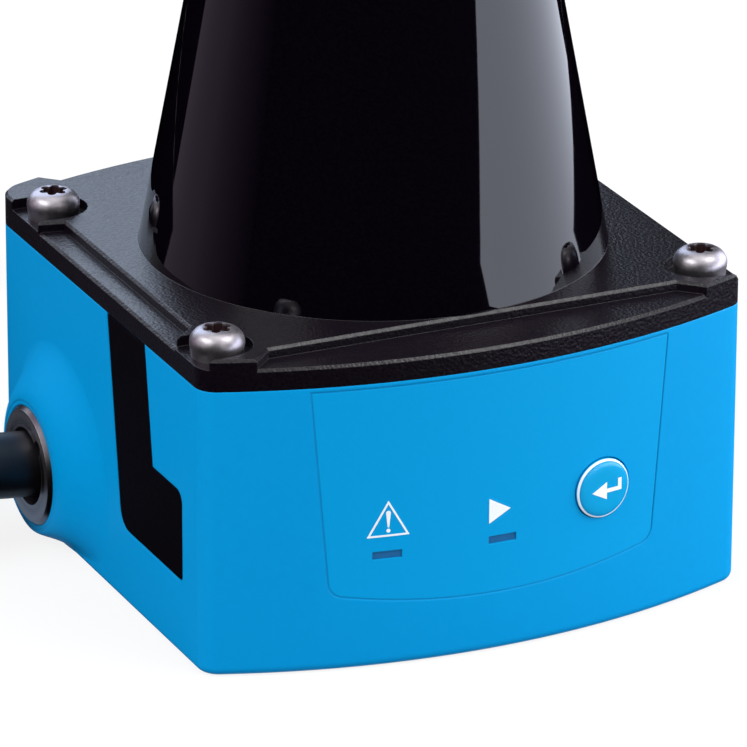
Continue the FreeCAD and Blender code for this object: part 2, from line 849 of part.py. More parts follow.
def small_screws(label, places, head_z):
    """A group of small pan-head screws."""
    fastener(label, places, head_z, cell("small_screw_radius"), cell("small_screw_length"),
             cell("small_screw_head"), cell("small_screw_head_height"), recess=False)


def make_seal():
    """The gasket that fills the rim's groove."""
    inset = cell("seal_inset")
    seal = Solid("hood_seal")
    rings = [cavity_outline(inset), cavity_outline(inset + cell("seal_width"))]
    seal.pad(rings, cell("seal_height"), housing_top - cell("seal_height"))
    seal.publish()


def lamp_box(label, x, gap, depth):
    """The straight hole or pipe of one status lamp."""
    half = cell("lamp_width") / 2 + gap
    tall = cell("lamp_height") / 2 + gap
    z = cell("lamp_z")
    return box(label, (x - half, -front - 1, z - tall), (x + half, depth, z + tall))


def make_panel():
    """The operating panel, its lamps and its button."""
    back = -cavity_y
    led_face = back - cell("led_depth")
    plate = common("panel_plate", panel_block("panel_block", Size(0, "0")),
                   bowed_band("panel_band", plan_arc, plan_arc - cell("panel_thick")))
    button_start = -front - cell("button_proud") * 2
    hole = rod("button_hole", cell("button_radius") + cell("button_gap"), REACH,
               (cell("button_x"), -front - 1, cell("button_z")), "Y")
    slots = [lamp_box(f"{name}_slot", cell(f"{name}_lamp_x"), cell("lamp_gap"), back)
             for name in ("fault", "ready")]
    publish("front_panel", cut("front_panel", plate, fuse("panel_holes", [hole] + slots)))
    for name in ("fault", "ready"):
        pipe = lamp_box(f"{name}_pipe", cell(f"{name}_lamp_x"), 0, led_face)
        face = rod(f"{name}_pipe_face", plan_arc - cell("lamp_recess"), housing_top,
                   (Size(0, "0"), arc_centre_y, Size(0, "0")))
        publish(f"{name}_light_pipe", common(f"{name}_light_pipe", pipe, face))
    leds = []
    for name in ("fault", "ready"):
        x, z = cell(f"{name}_lamp_x"), cell("lamp_z")
        half, tall = cell("led_length") / 2, cell("led_height") / 2
        leds.append(box(f"{name}_led", (x - half, led_face, z - tall), (x + half, back, z + tall)))
    publish("status_leds", fuse("status_leds", leds))
    shank = rod("button_shank", cell("button_radius"), button_start * -1 - front + cell("button_length"),
                (cell("button_x"), button_start, cell("button_z")), "Y")
    dome = rod("button_dome", plan_arc + cell("button_proud"), housing_top,
               (Size(0, "0"), arc_centre_y, Size(0, "0")))
    blank = common("button_blank", shank, dome)
    DOC.recompute()
    button = DOC.addObject("Part::Fillet", "teach_button")
    button.Base = blank
    face_y = min(edge.BoundBox.YMin for edge in blank.Shape.Edges)
    rims = [i for i, edge in enumerate(blank.Shape.Edges, start=1)
            if not isinstance(edge.Curve, Part.Line) and edge.BoundBox.YMin < face_y + 2]
    amount = cell("button_round").value
    button.Edges = [(i, amount, amount) for i in rims]
    publish("teach_button", button)
    back_half = block_x - cell("front_board_side_gap")
    publish("front_board", box("front_board", (-back_half, back, cell("front_board_bottom")),
                               (back_half, back + cell("front_board_thick"),
                                housing_top - cell("front_board_top_gap"))))
    x, z, half = cell("button_x"), cell("button_z"), cell("switch_half")
    case = box("switch_case", (x - half, back - cell("switch_depth"), z - half), (x + half, back, z + half))
    tip = -front + cell("button_length") + cell("button_travel")
    plunger = rod("switch_plunger", cell("switch_plunger"), back - tip, (x, tip, z), "Y")
    publish("teach_switch", fuse("teach_switch", [case, plunger]))


def make_cover():
    """The rubber cover: strap, pad and the plug that closes the port."""
    cover = Solid("cover_pad")
    cover.pad([cover_outline()], cell("cover_thick"), -half_width, "YZ_Plane")
    round_cover(cover, 0)
    half_y = cell("port_width") / 2 - cell("plug_gap")
    half_z = cell("port_height") / 2 - cell("plug_gap")
    inner = -half_width + cell("cover_thick")
    plug = box("cover_plug", (inner, port_y - half_y, port_z - half_z),
               (inner + cell("plug_length"), port_y + half_y, port_z + half_z))
    publish("usb_cover", fuse("usb_cover", [cover.body, plug]))


def make_boards():
    """Main board and service socket."""
    board = Solid("main_board")
    half_x, half_y = board_half_x, cell("board_half_y")
    hole = cell("small_screw_radius") + cell("screw_gap")
    places = corner_places(standoff_x, cell("standoff_y"))
    board.pad([box_outline(-half_x, -half_y, half_x, half_y)] + [Ring(u, v, hole) for u, v in places],
              cell("board_thick"), board_bottom)
    board.publish()
    small_screws("board_screws", places, board_top)
    half, shell = cell("socket_width") / 2, cell("socket_shell")
    inner = -cavity_x + cell("fit_gap")
    depth = cell("socket_depth")
    outer_shell = box("socket_shell", (inner, port_y - half, board_top),
                      (inner + depth, port_y + half, board_top + cell("socket_height")))
    mouth = box("socket_mouth", (inner - 1, port_y - half + shell, board_top + shell),
                (inner + depth - 1, port_y + half - shell, board_top + cell("socket_height") - shell))
    publish("usb_socket", cut("usb_socket", outer_shell, mouth))


def make_outlet():
    """Metal ring and rubber grommet where the cable leaves the base."""
    disc = Solid("gland_disc")
    outer, bore, edge = cell("disc_radius"), cell("disc_bore"), cell("disc_edge")
    thick = cell("disc_thick")
    disc.turn(Outline([(bore, 0), (outer, 0), (outer, thick - edge), (outer - edge, thick), (bore, thick)]))
    notch = cell("disc_notch")
    reach = (bore + notch * 0.3) * math.sqrt(0.5)
    disc.pocket([Ring(reach, -reach, notch), Ring(-reach, reach, notch)], thick, thick)
    turn_left = FreeCAD.Rotation(FreeCAD.Vector(0, 1, 0), -90)
    disc.body.Placement = FreeCAD.Placement(FreeCAD.Vector(), turn_left)
    place(disc.body, -boss_face - cell("disc_proud") + thick, boss_y, boss_z)
    disc.publish()
    grommet = Solid("cable_grommet")
    cable, body_r, lip = cell("cable_radius"), cell("grommet_radius"), cell("grommet_lip")
    wall_length = boss_face + cell("disc_proud") - thick - cavity_x
    lip_thick = cell("grommet_lip_thick")
    grommet.turn(Outline([(cable, -lip_thick), (lip, -lip_thick), (lip, 0), (body_r, 0), (body_r, wall_length),
                          (cable, wall_length)]))
    grommet.body.Placement = FreeCAD.Placement(FreeCAD.Vector(), turn_left)
    place(grommet.body, -cavity_x, boss_y, boss_z)
    grommet.publish()


def make_motor():
    """Motor carrier, bearings, stator and rotor."""
    plate = Solid("chassis_plate")
    half_x, half_y = chassis_half_x, chassis_half_y
    tab, tab_half = cavity_x - cell("chassis_tab_gap"), cell("chassis_tab_half")
    notch_half = cell("bracket_post_outer") * math.tan(math.radians(cell("flex_angle").value / 2)) + 1
    notch_y = cell("bracket_post_outer") * math.cos(math.radians(cell("flex_angle").value / 2)) - 0.4
    hole = cell("small_screw_radius") + cell("screw_gap")
    post_places = corner_places(post_x, post_y)
    screw_places = [(-cell("bracket_screw_x"), cell("bracket_screw_y")), (cell("bracket_screw_x"), cell("bracket_screw_y"))]
    outline = Outline([
        (-half_x, -half_y), (half_x, -half_y), (half_x, -tab_half), (tab, -tab_half), (tab, tab_half),
        (half_x, tab_half), (half_x, half_y), (notch_half, half_y), (notch_half, notch_y), (-notch_half, notch_y),
        (-notch_half, half_y), (-half_x, half_y),
    ])
    plate.pad([outline] + [Ring(u, v, hole) for u, v in post_places + screw_places],
              cell("chassis_thick"), chassis_bottom)
    plate.publish()
    small_screws("chassis_screws", post_places, chassis_top)
    # bearing tube, with a shoulder between the two bearings
    tube = Solid("bearing_tube")
    seat = cell("bearing_outer")
    tube_top = chassis_top + cell("tube_height")
    bearing = cell("bearing_height")
    flange_up = chassis_top + cell("tube_flange_thick")
    shoulder = cell("tube_shoulder")
    tube.turn(Outline([
        (seat, chassis_top), (cell("tube_flange"), chassis_top), (cell("tube_flange"), flange_up),
        (cell("tube_outer"), flange_up), (cell("tube_outer"), tube_top), (seat, tube_top),
        (seat, tube_top - bearing), (shoulder, tube_top - bearing), (shoulder, chassis_top + bearing),
        (seat, chassis_top + bearing),
    ]))
    tube.publish()
    bore = cell("shaft_radius") + cell("shaft_gap")
    race = cell("bearing_race")
    for name, low in (("lower_bearing", chassis_top), ("upper_bearing", tube_top - bearing)):
        ring = Solid(name)
        dip = cell("fit_gap") * 6
        ring.turn(Outline([
            (bore, low), (bore + race, low), (bore + race, low + dip), (seat - race, low + dip), (seat - race, low),
            (seat, low), (seat, low + bearing), (seat - race, low + bearing), (seat - race, low + bearing - dip),
            (bore + race, low + bearing - dip), (bore + race, low + bearing), (bore, low + bearing),
        ]))
        ring.publish()
    # stator: hub on the tube, teeth with wide tips
    stator = Solid("stator")
    low, tall = cell("stator_bottom"), cell("stator_height")
    hub, reach = cell("stator_hub"), cell("stator_radius")
    stator.pad([Ring(0, 0, hub), Ring(0, 0, cell("tube_outer"))], tall, low)
    tip = reach - cell("stator_tip_depth")
    neck, wide = cell("stator_tooth") / 2, cell("stator_tip_half")
    tooth = stator.pad([Outline([
        (hub - 0.5, -neck), (tip, -neck), (tip, -wide), (reach, -wide * 0.5), (reach, wide * 0.5), (tip, wide),
        (tip, neck), (hub - 0.5, neck),
    ])], tall, low)
    stator.polar(tooth, cell("stator_teeth"))
    stator.publish()
    # rotor: bell, magnet ring, shaft and encoder disc
    magnet_inner = reach + cell("magnet_gap")
    bell_inner = magnet_inner + cell("magnet_thick")
    bell_outer = bell_inner + cell("bell_wall")
    bell_low, bell_top = cell("bell_bottom"), cell("bell_top")
    shaft = cell("shaft_radius")
    bell = Solid("rotor_bell")
    roof = bell_top - cell("bell_roof")
    bell.turn(Outline([(shaft, roof), (bell_inner, roof), (bell_inner, bell_low), (bell_outer, bell_low),
                       (bell_outer, bell_top), (shaft, bell_top)]))
    bell.publish()
    magnet = Solid("rotor_magnet")
    magnet.pad([Ring(0, 0, bell_inner), Ring(0, 0, magnet_inner)], tall + 1, low - 0.5)
    magnet.publish()
    publish("motor_shaft", rod("motor_shaft", shaft, cell("shaft_end") - chassis_top - 0.4,
                               (Size(0, "0"), Size(0, "0"), chassis_top + 0.4)))
    disc = Solid("encoder_disc")
    thick, rim = cell("encoder_thick"), cell("encoder_radius")
    disc.pad([Ring(0, 0, rim), Ring(0, 0, shaft)], thick, bell_top)
    half_slot = cell("encoder_slot_width") / 2
    slot = disc.pocket([box_outline(rim - cell("encoder_slot_depth"), -half_slot, rim + 1, half_slot)],
                       thick, bell_top + thick)
    disc.polar(slot, cell("encoder_slots"))
    disc.publish()
    # fork sensor on a leg beside the disc
    jaw, leg, outer = cell("sensor_jaw_inner"), cell("sensor_leg_inner"), cell("sensor_outer")
    gap_low = bell_top + thick / 2 - cell("sensor_slot") / 2
    gap_top = gap_low + cell("sensor_slot")
    jaw_low, jaw_top = gap_low - cell("sensor_jaw"), gap_top + cell("sensor_jaw")
    sensor = Solid("encoder_sensor")
    half = cell("sensor_half")
    sensor.pad([Outline([
        (leg, chassis_top), (outer, chassis_top), (outer, jaw_top), (jaw, jaw_top), (jaw, gap_top), (leg, gap_top),
        (leg, gap_low), (jaw, gap_low), (jaw, jaw_low), (leg, jaw_low),
    ])], half * 2, -half, "XZ_Plane")
    sensor.publish()
    make_mirror(bell_top + thick)


def make_mirror(seat_z):
    """The carrier with its sloping face, and the mirror on it."""
    centre, radius = cell("mirror_centre"), cell("carrier_radius")
    shaft = cell("shaft_radius")
    sweep = radius + 2
    carrier = Solid("mirror_carrier")
    carrier.pad([Ring(0, 0, radius)], centre + radius + 1 - seat_z, seat_z)
    carrier.pocket([Ring(0, 0, shaft)], cell("shaft_end") - seat_z, seat_z, reverse=True)
    top = centre + sweep + 2
    slope = Outline([(-sweep, centre - sweep), (sweep, centre + sweep), (sweep, top), (-sweep, top)])
    carrier.pocket([slope], sweep * 2, sweep, "YZ_Plane")
    carrier.publish()
    mirror = Solid("scan_mirror")
    face = cell("mirror_radius")
    lift = cell("mirror_thick") * math.sqrt(2)
    mirror.pad([Ring(0, 0, face)], face * 2 + lift + 2, centre - face - 1)
    mirror.pocket([Outline([(-sweep, centre - sweep + lift), (sweep, centre + sweep + lift), (sweep, top + lift + 2),
                            (-sweep, top + lift + 2)])], sweep * 2, sweep, "YZ_Plane")
    below = centre - sweep - 4
    mirror.pocket([Outline([(-sweep, centre - sweep), (-sweep, below), (sweep, below), (sweep, centre + sweep)])],
                  sweep * 2, sweep, "YZ_Plane")
    mirror.publish()


def make_receiver():
    """The rear bracket, the receiving lens, the laser and their board."""
    bracket = Solid("optics_bracket")
    inner, wall, outer = cell("ring_inner"), cell("ring_wall_inner"), cell("ring_outer")
    top = cell("overall_height") - cell("ring_top_gap")
    low = top - cell("ring_height")
    seat = low + cell("ring_thick")
    laser_bottom = low - cell("laser_drop")
    bracket.turn(Outline([(inner, low), (outer, low), (outer, top), (wall, top), (wall, seat), (inner, seat)]))
    post_in, post_out = cell("bracket_post_inner"), cell("bracket_post_outer")
    foot_top = chassis_top + cell("bracket_foot_thick")
    bracket.turn(Outline([
        (cell("bracket_foot_inner"), chassis_top), (post_out, chassis_top), (outer, low + cell("fit_gap")),
        (wall, low + cell("fit_gap")), (post_in, foot_top), (cell("bracket_foot_inner"), foot_top),
    ]), "YZ_Plane", angle=cell("bracket_angle"))
    places = [(-cell("bracket_screw_x"), cell("bracket_screw_y")), (cell("bracket_screw_x"), cell("bracket_screw_y"))]
    hole = cell("small_screw_radius") + cell("screw_gap")
    bracket.pocket([Ring(u, v, hole) for u, v in places], cell("bracket_foot_thick"), foot_top)
    bracket.publish()
    small_screws("bracket_screws", places, foot_top)
    lens = Solid("receiver_lens")
    laser = cell("laser_radius")
    rim = wall - cell("lens_gap")
    rise = cell("lens_thick") - cell("lens_rim")
    lens.turn(Outline([
        (laser + cell("fit_gap"), seat), (rim, seat), (rim, seat + cell("lens_rim")),
        (laser + cell("fit_gap"), seat + cell("lens_thick")),
    ], {2: (bow_radius(rim, rise), True)}))
    lens.publish()
    publish("laser_tube", rod("laser_tube", laser, top - laser_bottom,
                              (Size(0, "0"), Size(0, "0"), laser_bottom)))
    publish("receiver_board", rod("receiver_board", cell("receiver_board_radius"), cell("receiver_board_thick"),
                                  (Size(0, "0"), Size(0, "0"), top)))
    # flat flexible cable down the back of the bracket to the main board
    gap, thick = cell("fit_gap"), cell("flex_thick")
    flex = Solid("flex_cable")
    near, far = outer + gap, outer + gap + thick
    near_foot, far_foot = post_out + gap, post_out + gap + thick
    flex.turn(Outline([
        (near, top), (near, low), (near_foot, chassis_top), (near_foot, board_top + thick),
        (cell("flex_foot"), board_top + thick), (cell("flex_foot"), board_top), (far_foot, board_top),
        (far_foot, chassis_top), (far, low), (far, top),
    ]), "YZ_Plane", angle=cell("flex_angle"))
    flex.publish()


def tube_along(label, points, radius):
    """A tube whose straight runs are joined by arcs as large as the runs allow."""
    route = [FreeCAD.Vector(*point) for point in points]
    edges = []
    start = route[0]
    for before, corner, after in zip(route, route[1:], route[2:]):
        a, b = before - corner, after - corner
        turn = math.pi - a.getAngle(b)
        reach = 0.45 * min(a.Length, b.Length)
        bend = reach / math.tan(turn / 2)
        print(f"{label}: bend radius {bend:.1f} mm")
        first = corner + a.normalize() * reach
        last = corner + b.normalize() * reach
        bisector = (a + b).normalize()
        middle = corner + bisector * (bend / math.cos(turn / 2) - bend)
        edges.append(Part.LineSegment(start, first).toShape())
        edges.append(Part.Arc(first, middle, last).toShape())
        start = last
    edges.append(Part.LineSegment(start, route[-1]).toShape())
    path = Part.Wire(edges)
    heading = route[1] - route[0]
    section = Part.Wire(Part.makeCircle(radius, route[0], heading))
    solid = path.makePipeShell([section], True, False)
    expected = math.pi * radius ** 2 * path.Length
    if abs(solid.Volume / expected - 1) > 0.01:
        raise RuntimeError(f"{label} has the wrong volume")
    print(f"{label}: {path.Length:.1f} mm long")
    tube = DOC.addObject("Part::Feature", label)
    tube.Shape = solid
    publish(label, tube)


def make_cable():
    """The cable's lead, its coil, its tail and the connector on its end."""
    radius = cell("cable_radius")
    width = radius * 2
    coil_x = cell("coil_x")
    first_turn = cell("coil_turn_inner")
    top_turn = first_turn + radius
    coil_y = boss_y + top_turn
    floor_z = cell("coil_lift") + radius
    top_z = floor_z + radius * math.sqrt(3)
    x, y, z = coil_x.value, boss_y.value, boss_z.value
    straight = (boss_face + cell("lead_straight")).value
    hump_z = (top_z + cell("hump_lift")).value
    side = y + cell("hump_rise").value
    lead = [(-cell("cable_inside").value, y, z), (-straight, y, z),
            (x + cell("hump_near").value, side, hump_z),
            (x + cell("hump_far").value, side, hump_z + cell("hump_rise").value), (x, y, top_z.value)]
    tube_along("cable", lead, radius.value)
    coil = Solid("cable_coil")
    inner, outer = first_turn - radius, first_turn + radius * 5
    low, shoulder, crown = cell("coil_lift"), floor_z + radius, top_z + radius
    coil.turn(Outline([
        (inner, low), (outer, low), (outer, shoulder - 1), (outer - 1, shoulder), (top_turn + radius, shoulder),
        (top_turn + radius * 0.6, crown), (top_turn - radius * 0.6, crown), (inner, shoulder),
    ]))
    place(coil.body, coil_x, coil_y, 0)
    coil.publish()
    band = cell("tie_band")
    tie = Solid("coil_tie")
    gap = cell("tie_gap")
    rings = []
    for grow in (gap, gap + band):
        rings.append(Outline([
            (inner - grow, low - grow), (outer + grow, low - grow), (outer + grow, shoulder + grow),
            (top_turn + radius * 0.6 + grow, crown + grow), (top_turn - radius * 0.6 - grow, crown + grow),
            (inner - grow, shoulder + grow),
        ]))
    tie.pad(rings, cell("tie_width"), -cell("tie_width") / 2, "XZ_Plane")
    tie.body.Placement = FreeCAD.Placement(
        FreeCAD.Vector(), FreeCAD.Rotation(FreeCAD.Vector(0, 0, 1), cell("tie_angle").value))
    place(tie.body, coil_x, coil_y, 0)
    tie.publish()
    # the tail leaves the outer turn at its rear and runs straight into the connector
    outer_turn = first_turn + width * 2
    nut = cell("nut_radius")
    tail_y = coil_y + outer_turn
    end_x = coil_x + cell("tail_length")
    middle_x = coil_x + cell("tail_length") / 2
    tail = [(x, tail_y.value, floor_z.value), (middle_x.value, tail_y.value, floor_z.value),
            (end_x.value, tail_y.value, nut.value)]
    tube_along("cable_tail", tail, radius.value)
    make_connector(end_x, tail_y, nut)


def make_connector(x, y, z):
    """A round field connector, lying on its coupling nut along +X."""
    relief, length, neck = cell("connector_relief_length"), cell("connector_length"), cell("connector_neck_length")
    shell, neck_r, relief_r = cell("connector_radius"), cell("connector_neck_radius"), cell("connector_relief_radius")
    along_x = FreeCAD.Rotation(FreeCAD.Vector(0, 1, 0), 90)
    body = Solid("connector_body")
    insert, recess = cell("insert_radius"), cell("insert_recess")
    end = relief + length + neck
    body.turn(Outline([
        (0, 0), (relief_r - 0.6, 0), (relief_r, relief), (shell, relief + 1.5), (shell, relief + length),
        (neck_r, relief + length), (neck_r, end), (insert, end), (insert, end - recess), (0, end - recess),
    ]))
    body.body.Placement = FreeCAD.Placement(FreeCAD.Vector(), along_x)
    place(body.body, x, y, z)
    body.publish()
    nut = Solid("connector_nut")
    outer, bore = cell("nut_radius"), neck_r + cell("nut_gap")
    start = relief + length + cell("nut_gap")
    stop = start + cell("nut_length")
    nut.turn(Outline([(bore, start), (outer - 0.5, start), (outer, start + 0.5), (outer, stop - 0.8),
                      (outer - 0.8, stop), (bore, stop)]))
    half_rib = cell("nut_rib_width") / 2
    rib = nut.pocket([box_outline(outer - cell("nut_rib_depth"), -half_rib, outer + 1, half_rib)],
                     stop - start, stop)
    nut.polar(rib, cell("nut_ribs"))
    nut.body.Placement = FreeCAD.Placement(FreeCAD.Vector(), along_x)
    place(nut.body, x, y, z)
    nut.publish()
    face = Solid("connector_insert")
    depth = recess - 1
    face.pad([Ring(0, 0, insert - cell("fit_gap"))], depth / 3, end - recess)
    circle = cell("pin_circle")
    pin_pad = face.pad([Ring(circle, 0, cell("pin_radius"))], depth / 3 + cell("pin_length") * 0.6, end - recess)
    face.polar(pin_pad, cell("pin_count"))
    face.body.Placement = FreeCAD.Placement(FreeCAD.Vector(), along_x)
    place(face.body, x, y, z)
    face.publish()


def write_steps():
    """Check every object, then write each sub-part to its own file."""
    DOC.recompute()
    for item in DOC.Objects:
        bad = [word for word in item.State if word in ("Invalid", "Error")]
        if bad:
            raise RuntimeError(f"{item.Label} is {bad}")
    for label, node in NODES.items():
        shape = node.Shape
        if shape.isNull() or not shape.isValid() or not shape.Solids:
            raise RuntimeError(f"{label} has no valid shape")
    os.makedirs("parts", exist_ok=True)
    for label, node in NODES.items():
        node.Shape.exportStep(f"parts/{label}.step")
        print(f"{label}: {len(node.Shape.Solids)} solid(s), {node.Shape.Volume:.1f} mm3")


make_housing()
make_hood()
fastener("hood_screws", corner_places(screw_x, screw_y), step_floor, cell("screw_radius"), cell("screw_length"),
         cell("screw_head_radius"), cell("screw_head_height"))
make_seal()
make_panel()
make_cover()
make_boards()
make_outlet()
make_motor()
make_receiver()
make_cable()
write_steps()
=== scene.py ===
"""Compact laser scanner: finishes, cable, boss fairing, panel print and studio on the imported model."""

import json
import logging
import math
from dataclasses import dataclass
from enum import Enum
from typing import Any

import bmesh
import bpy
import numpy as np
from mathutils import Matrix, Vector

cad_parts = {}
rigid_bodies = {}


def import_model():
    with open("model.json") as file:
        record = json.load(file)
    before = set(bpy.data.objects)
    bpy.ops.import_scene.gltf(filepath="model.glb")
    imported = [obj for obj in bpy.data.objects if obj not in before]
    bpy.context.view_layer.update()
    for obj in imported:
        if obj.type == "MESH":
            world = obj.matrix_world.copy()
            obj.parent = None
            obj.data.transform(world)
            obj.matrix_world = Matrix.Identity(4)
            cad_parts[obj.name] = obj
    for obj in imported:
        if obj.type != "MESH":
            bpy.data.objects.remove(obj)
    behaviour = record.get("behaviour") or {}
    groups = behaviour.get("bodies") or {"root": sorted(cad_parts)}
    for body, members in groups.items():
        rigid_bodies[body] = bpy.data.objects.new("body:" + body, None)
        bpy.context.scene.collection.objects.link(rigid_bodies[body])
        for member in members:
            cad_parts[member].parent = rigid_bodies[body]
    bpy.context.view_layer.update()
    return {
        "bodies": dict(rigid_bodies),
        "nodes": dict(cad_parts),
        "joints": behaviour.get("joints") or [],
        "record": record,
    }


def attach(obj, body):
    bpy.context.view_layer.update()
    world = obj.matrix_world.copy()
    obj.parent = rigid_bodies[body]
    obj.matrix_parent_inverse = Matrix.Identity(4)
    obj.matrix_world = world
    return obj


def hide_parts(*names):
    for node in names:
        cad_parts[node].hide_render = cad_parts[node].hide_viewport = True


LOG = logging.getLogger("scanner")
MM = 0.001
BASE = "base"
BUTTON = "teach_button"
WHITE = (1.0, 1.0, 1.0, 1.0)
# The wave texture counts 20 radians for each unit of its scale.
WAVE_RADIANS = 20.0
# Sockets of the mix node: factor, two numbers, two colours, and the output of mixed colours.
FACTOR = 0
NUMBER_A = 2
NUMBER_B = 3
COLOUR_A = 6
COLOUR_B = 7
MIXED_COLOUR = 2


def linear(code: str) -> tuple[float, float, float, float]:
    """Turn an sRGB hex colour into linear light, by the sRGB standard's curve.

    Args:
        code: six hex digits after a hash.

    Returns:
        Red, green, blue and alpha in linear light.
    """
    parts = np.array([int(code[i:i + 2], 16) for i in (1, 3, 5)]) / 255.0
    light = np.where(parts <= 0.04045, parts / 12.92, ((parts + 0.055) / 1.055) ** 2.4)
    return float(light[0]), float(light[1]), float(light[2]), 1.0


def add_node(tree: bpy.types.NodeTree, kind: str, settings: dict[str, Any] | None = None,
             values: dict[Any, Any] | None = None, links: dict[Any, Any] | None = None) -> bpy.types.Node:
    """Add one node with its settings, fixed socket values and incoming links.

    Args:
        tree: node tree that gets the node.
        kind: the node's type name.
        settings: attributes to set on the node.
        values: input socket name or number against its fixed value.
        links: input socket name or number against the output socket that feeds it.

    Returns:
        The new node.
    """
    node = tree.nodes.new(kind)
    for name, value in (settings or {}).items():
        setattr(node, name, value)
    for name, value in (values or {}).items():
        node.inputs[name].default_value = value
    for name, source in (links or {}).items():
        tree.links.new(source, node.inputs[name])
    return node


def empty_tree(owner: bpy.types.Material | bpy.types.World) -> bpy.types.NodeTree:
    """Turn on the nodes of a material or world and clear them.

    Args:
        owner: the new material or world.

    Returns:
        Its empty node tree.
    """
    owner.use_nodes = True
    owner.node_tree.nodes.clear()
    return owner.node_tree


def add_object(name: str, data: bpy.types.ID) -> bpy.types.Object:
    """Make an object at the origin and link it to the scene.

    Args:
        name: the object's name.
        data: its mesh, curve, lamp or camera.

    Returns:
        The new object.
    """
    made = bpy.data.objects.new(name, data)
    bpy.context.scene.collection.objects.link(made)
    return made


def toward(azimuth: float, elevation: float) -> Vector:
    """Point outwards from the sensor, at degrees from the front to its right and above the table."""
    turn, rise = math.radians(azimuth), math.radians(elevation)
    return Vector((math.sin(turn) * math.cos(rise), -math.cos(turn) * math.cos(rise), math.sin(rise)))


class Relief(Enum):
    """How the fine relief of a surface came about."""

    GRAIN = "fine even grain of paint, cast or moulded skin"
    PEBBLE = "etched mould texture of small rounded pits"
    TURNED = "rings left by a lathe about an axis along X"
    SPUN = "rings left by a lathe about the upright axis"
    STACKED = "edges of thin sheets stacked along Z"
    WOVEN = "crossed threads of a narrow woven tape"


# The wave texture's settings and unevenness for tool marks and stacked sheets.
WAVES: dict[Relief, tuple[dict[str, str], dict[str, float]]] = {
    Relief.TURNED: ({"wave_type": "RINGS", "rings_direction": "X"}, {"Distortion": 0.6, "Detail": 1.0}),
    Relief.SPUN: ({"wave_type": "RINGS", "rings_direction": "Z"}, {"Distortion": 0.6, "Detail": 1.0}),
    Relief.STACKED: ({"wave_type": "BANDS", "bands_direction": "Z"}, {"Distortion": 0.2}),
}


@dataclass(frozen=True)
class Finish:
    """One material: its colour, gloss and the size of its pattern in millimetres."""

    name: str
    colour: str
    shade: str
    rough: float
    rough_spread: float = 0.06
    grain_mm: float = 0.4
    depth_mm: float = 0.004
    metallic: float = 0.0
    ior: float = 1.5
    specular: float = 0.5
    relief: Relief = Relief.GRAIN
    round_mm: float = 0.0
    transmission: float = 0.0
    centre_mm: tuple[float, float, float] = (0.0, 0.0, 0.0)

    def pattern(self, tree: bpy.types.NodeTree) -> bpy.types.NodeSocket:
        """Add the relief's pattern, from 0 to 1, at its size in millimetres.

        Args:
            tree: the material's node tree.

        Returns:
            The socket with the pattern's height.
        """
        place = add_node(tree, "ShaderNodeTexCoord")
        centre = tuple(-MM * c for c in self.centre_mm)
        coords = add_node(tree, "ShaderNodeMapping", values={"Location": centre},
                          links={"Vector": place.outputs["Object"]}).outputs["Vector"]
        per_metre = 1.0 / (self.grain_mm * MM)
        if self.relief is Relief.PEBBLE:
            cells = add_node(tree, "ShaderNodeTexVoronoi", {"feature": "SMOOTH_F1"},
                             {"Scale": per_metre, "Smoothness": 0.6}, {"Vector": coords})
            return cells.outputs["Distance"]
        spacing = {"Scale": per_metre / WAVE_RADIANS}
        if self.relief in WAVES:
            settings, unevenness = WAVES[self.relief]
            waves = add_node(tree, "ShaderNodeTexWave", settings, spacing | unevenness, {"Vector": coords})
            return waves.outputs["Fac"]
        if self.relief is Relief.WOVEN:
            warp, weft = (add_node(tree, "ShaderNodeTexWave", {"bands_direction": axis}, spacing,
                                   {"Vector": coords}) for axis in "XZ")
            both = add_node(tree, "ShaderNodeMath", {"operation": "MAXIMUM"},
                            links={0: warp.outputs["Fac"], 1: weft.outputs["Fac"]})
            return both.outputs[0]
        grain = add_node(tree, "ShaderNodeTexNoise", values={"Scale": per_metre, "Detail": 3.0},
                         links={"Vector": coords})
        return grain.outputs["Fac"]

    def surface(self, tree: bpy.types.NodeTree) -> bpy.types.Node:
        """Add the shader with its colour, gloss and relief led by the pattern.

        Args:
            tree: the material's node tree.

        Returns:
            The shader node.
        """
        height = self.pattern(tree)
        tone = add_node(tree, "ShaderNodeMix", {"data_type": "RGBA"},
                        {COLOUR_A: linear(self.shade), COLOUR_B: linear(self.colour)}, {FACTOR: height})
        low, high = self.rough - self.rough_spread, self.rough + self.rough_spread
        gloss = add_node(tree, "ShaderNodeMapRange", values={"To Min": low, "To Max": high},
                         links={"Value": height})
        bump = add_node(tree, "ShaderNodeBump", values={"Strength": 1.0, "Distance": self.depth_mm * MM},
                        links={"Height": height})
        if self.round_mm:
            edge = add_node(tree, "ShaderNodeBevel", {"samples": 6}, {"Radius": self.round_mm * MM})
            tree.links.new(edge.outputs["Normal"], bump.inputs["Normal"])
        fixed = {"Metallic": self.metallic, "IOR": self.ior, "Specular IOR Level": self.specular,
                 "Transmission Weight": self.transmission}
        return add_node(tree, "ShaderNodeBsdfPrincipled", values=fixed,
                        links={"Base Color": tone.outputs[MIXED_COLOUR],
                               "Roughness": gloss.outputs["Result"], "Normal": bump.outputs["Normal"]})

    def material(self) -> bpy.types.Material:
        """Make the Blender material of this finish.

        Returns:
            The material, made once and found by its name after that.
        """
        found = bpy.data.materials.get(self.name)
        if found:
            return found
        made = bpy.data.materials.new(self.name)
        tree = empty_tree(made)
        shader = self.surface(tree)
        add_node(tree, "ShaderNodeOutputMaterial", links={"Surface": shader.outputs[0]})
        return made


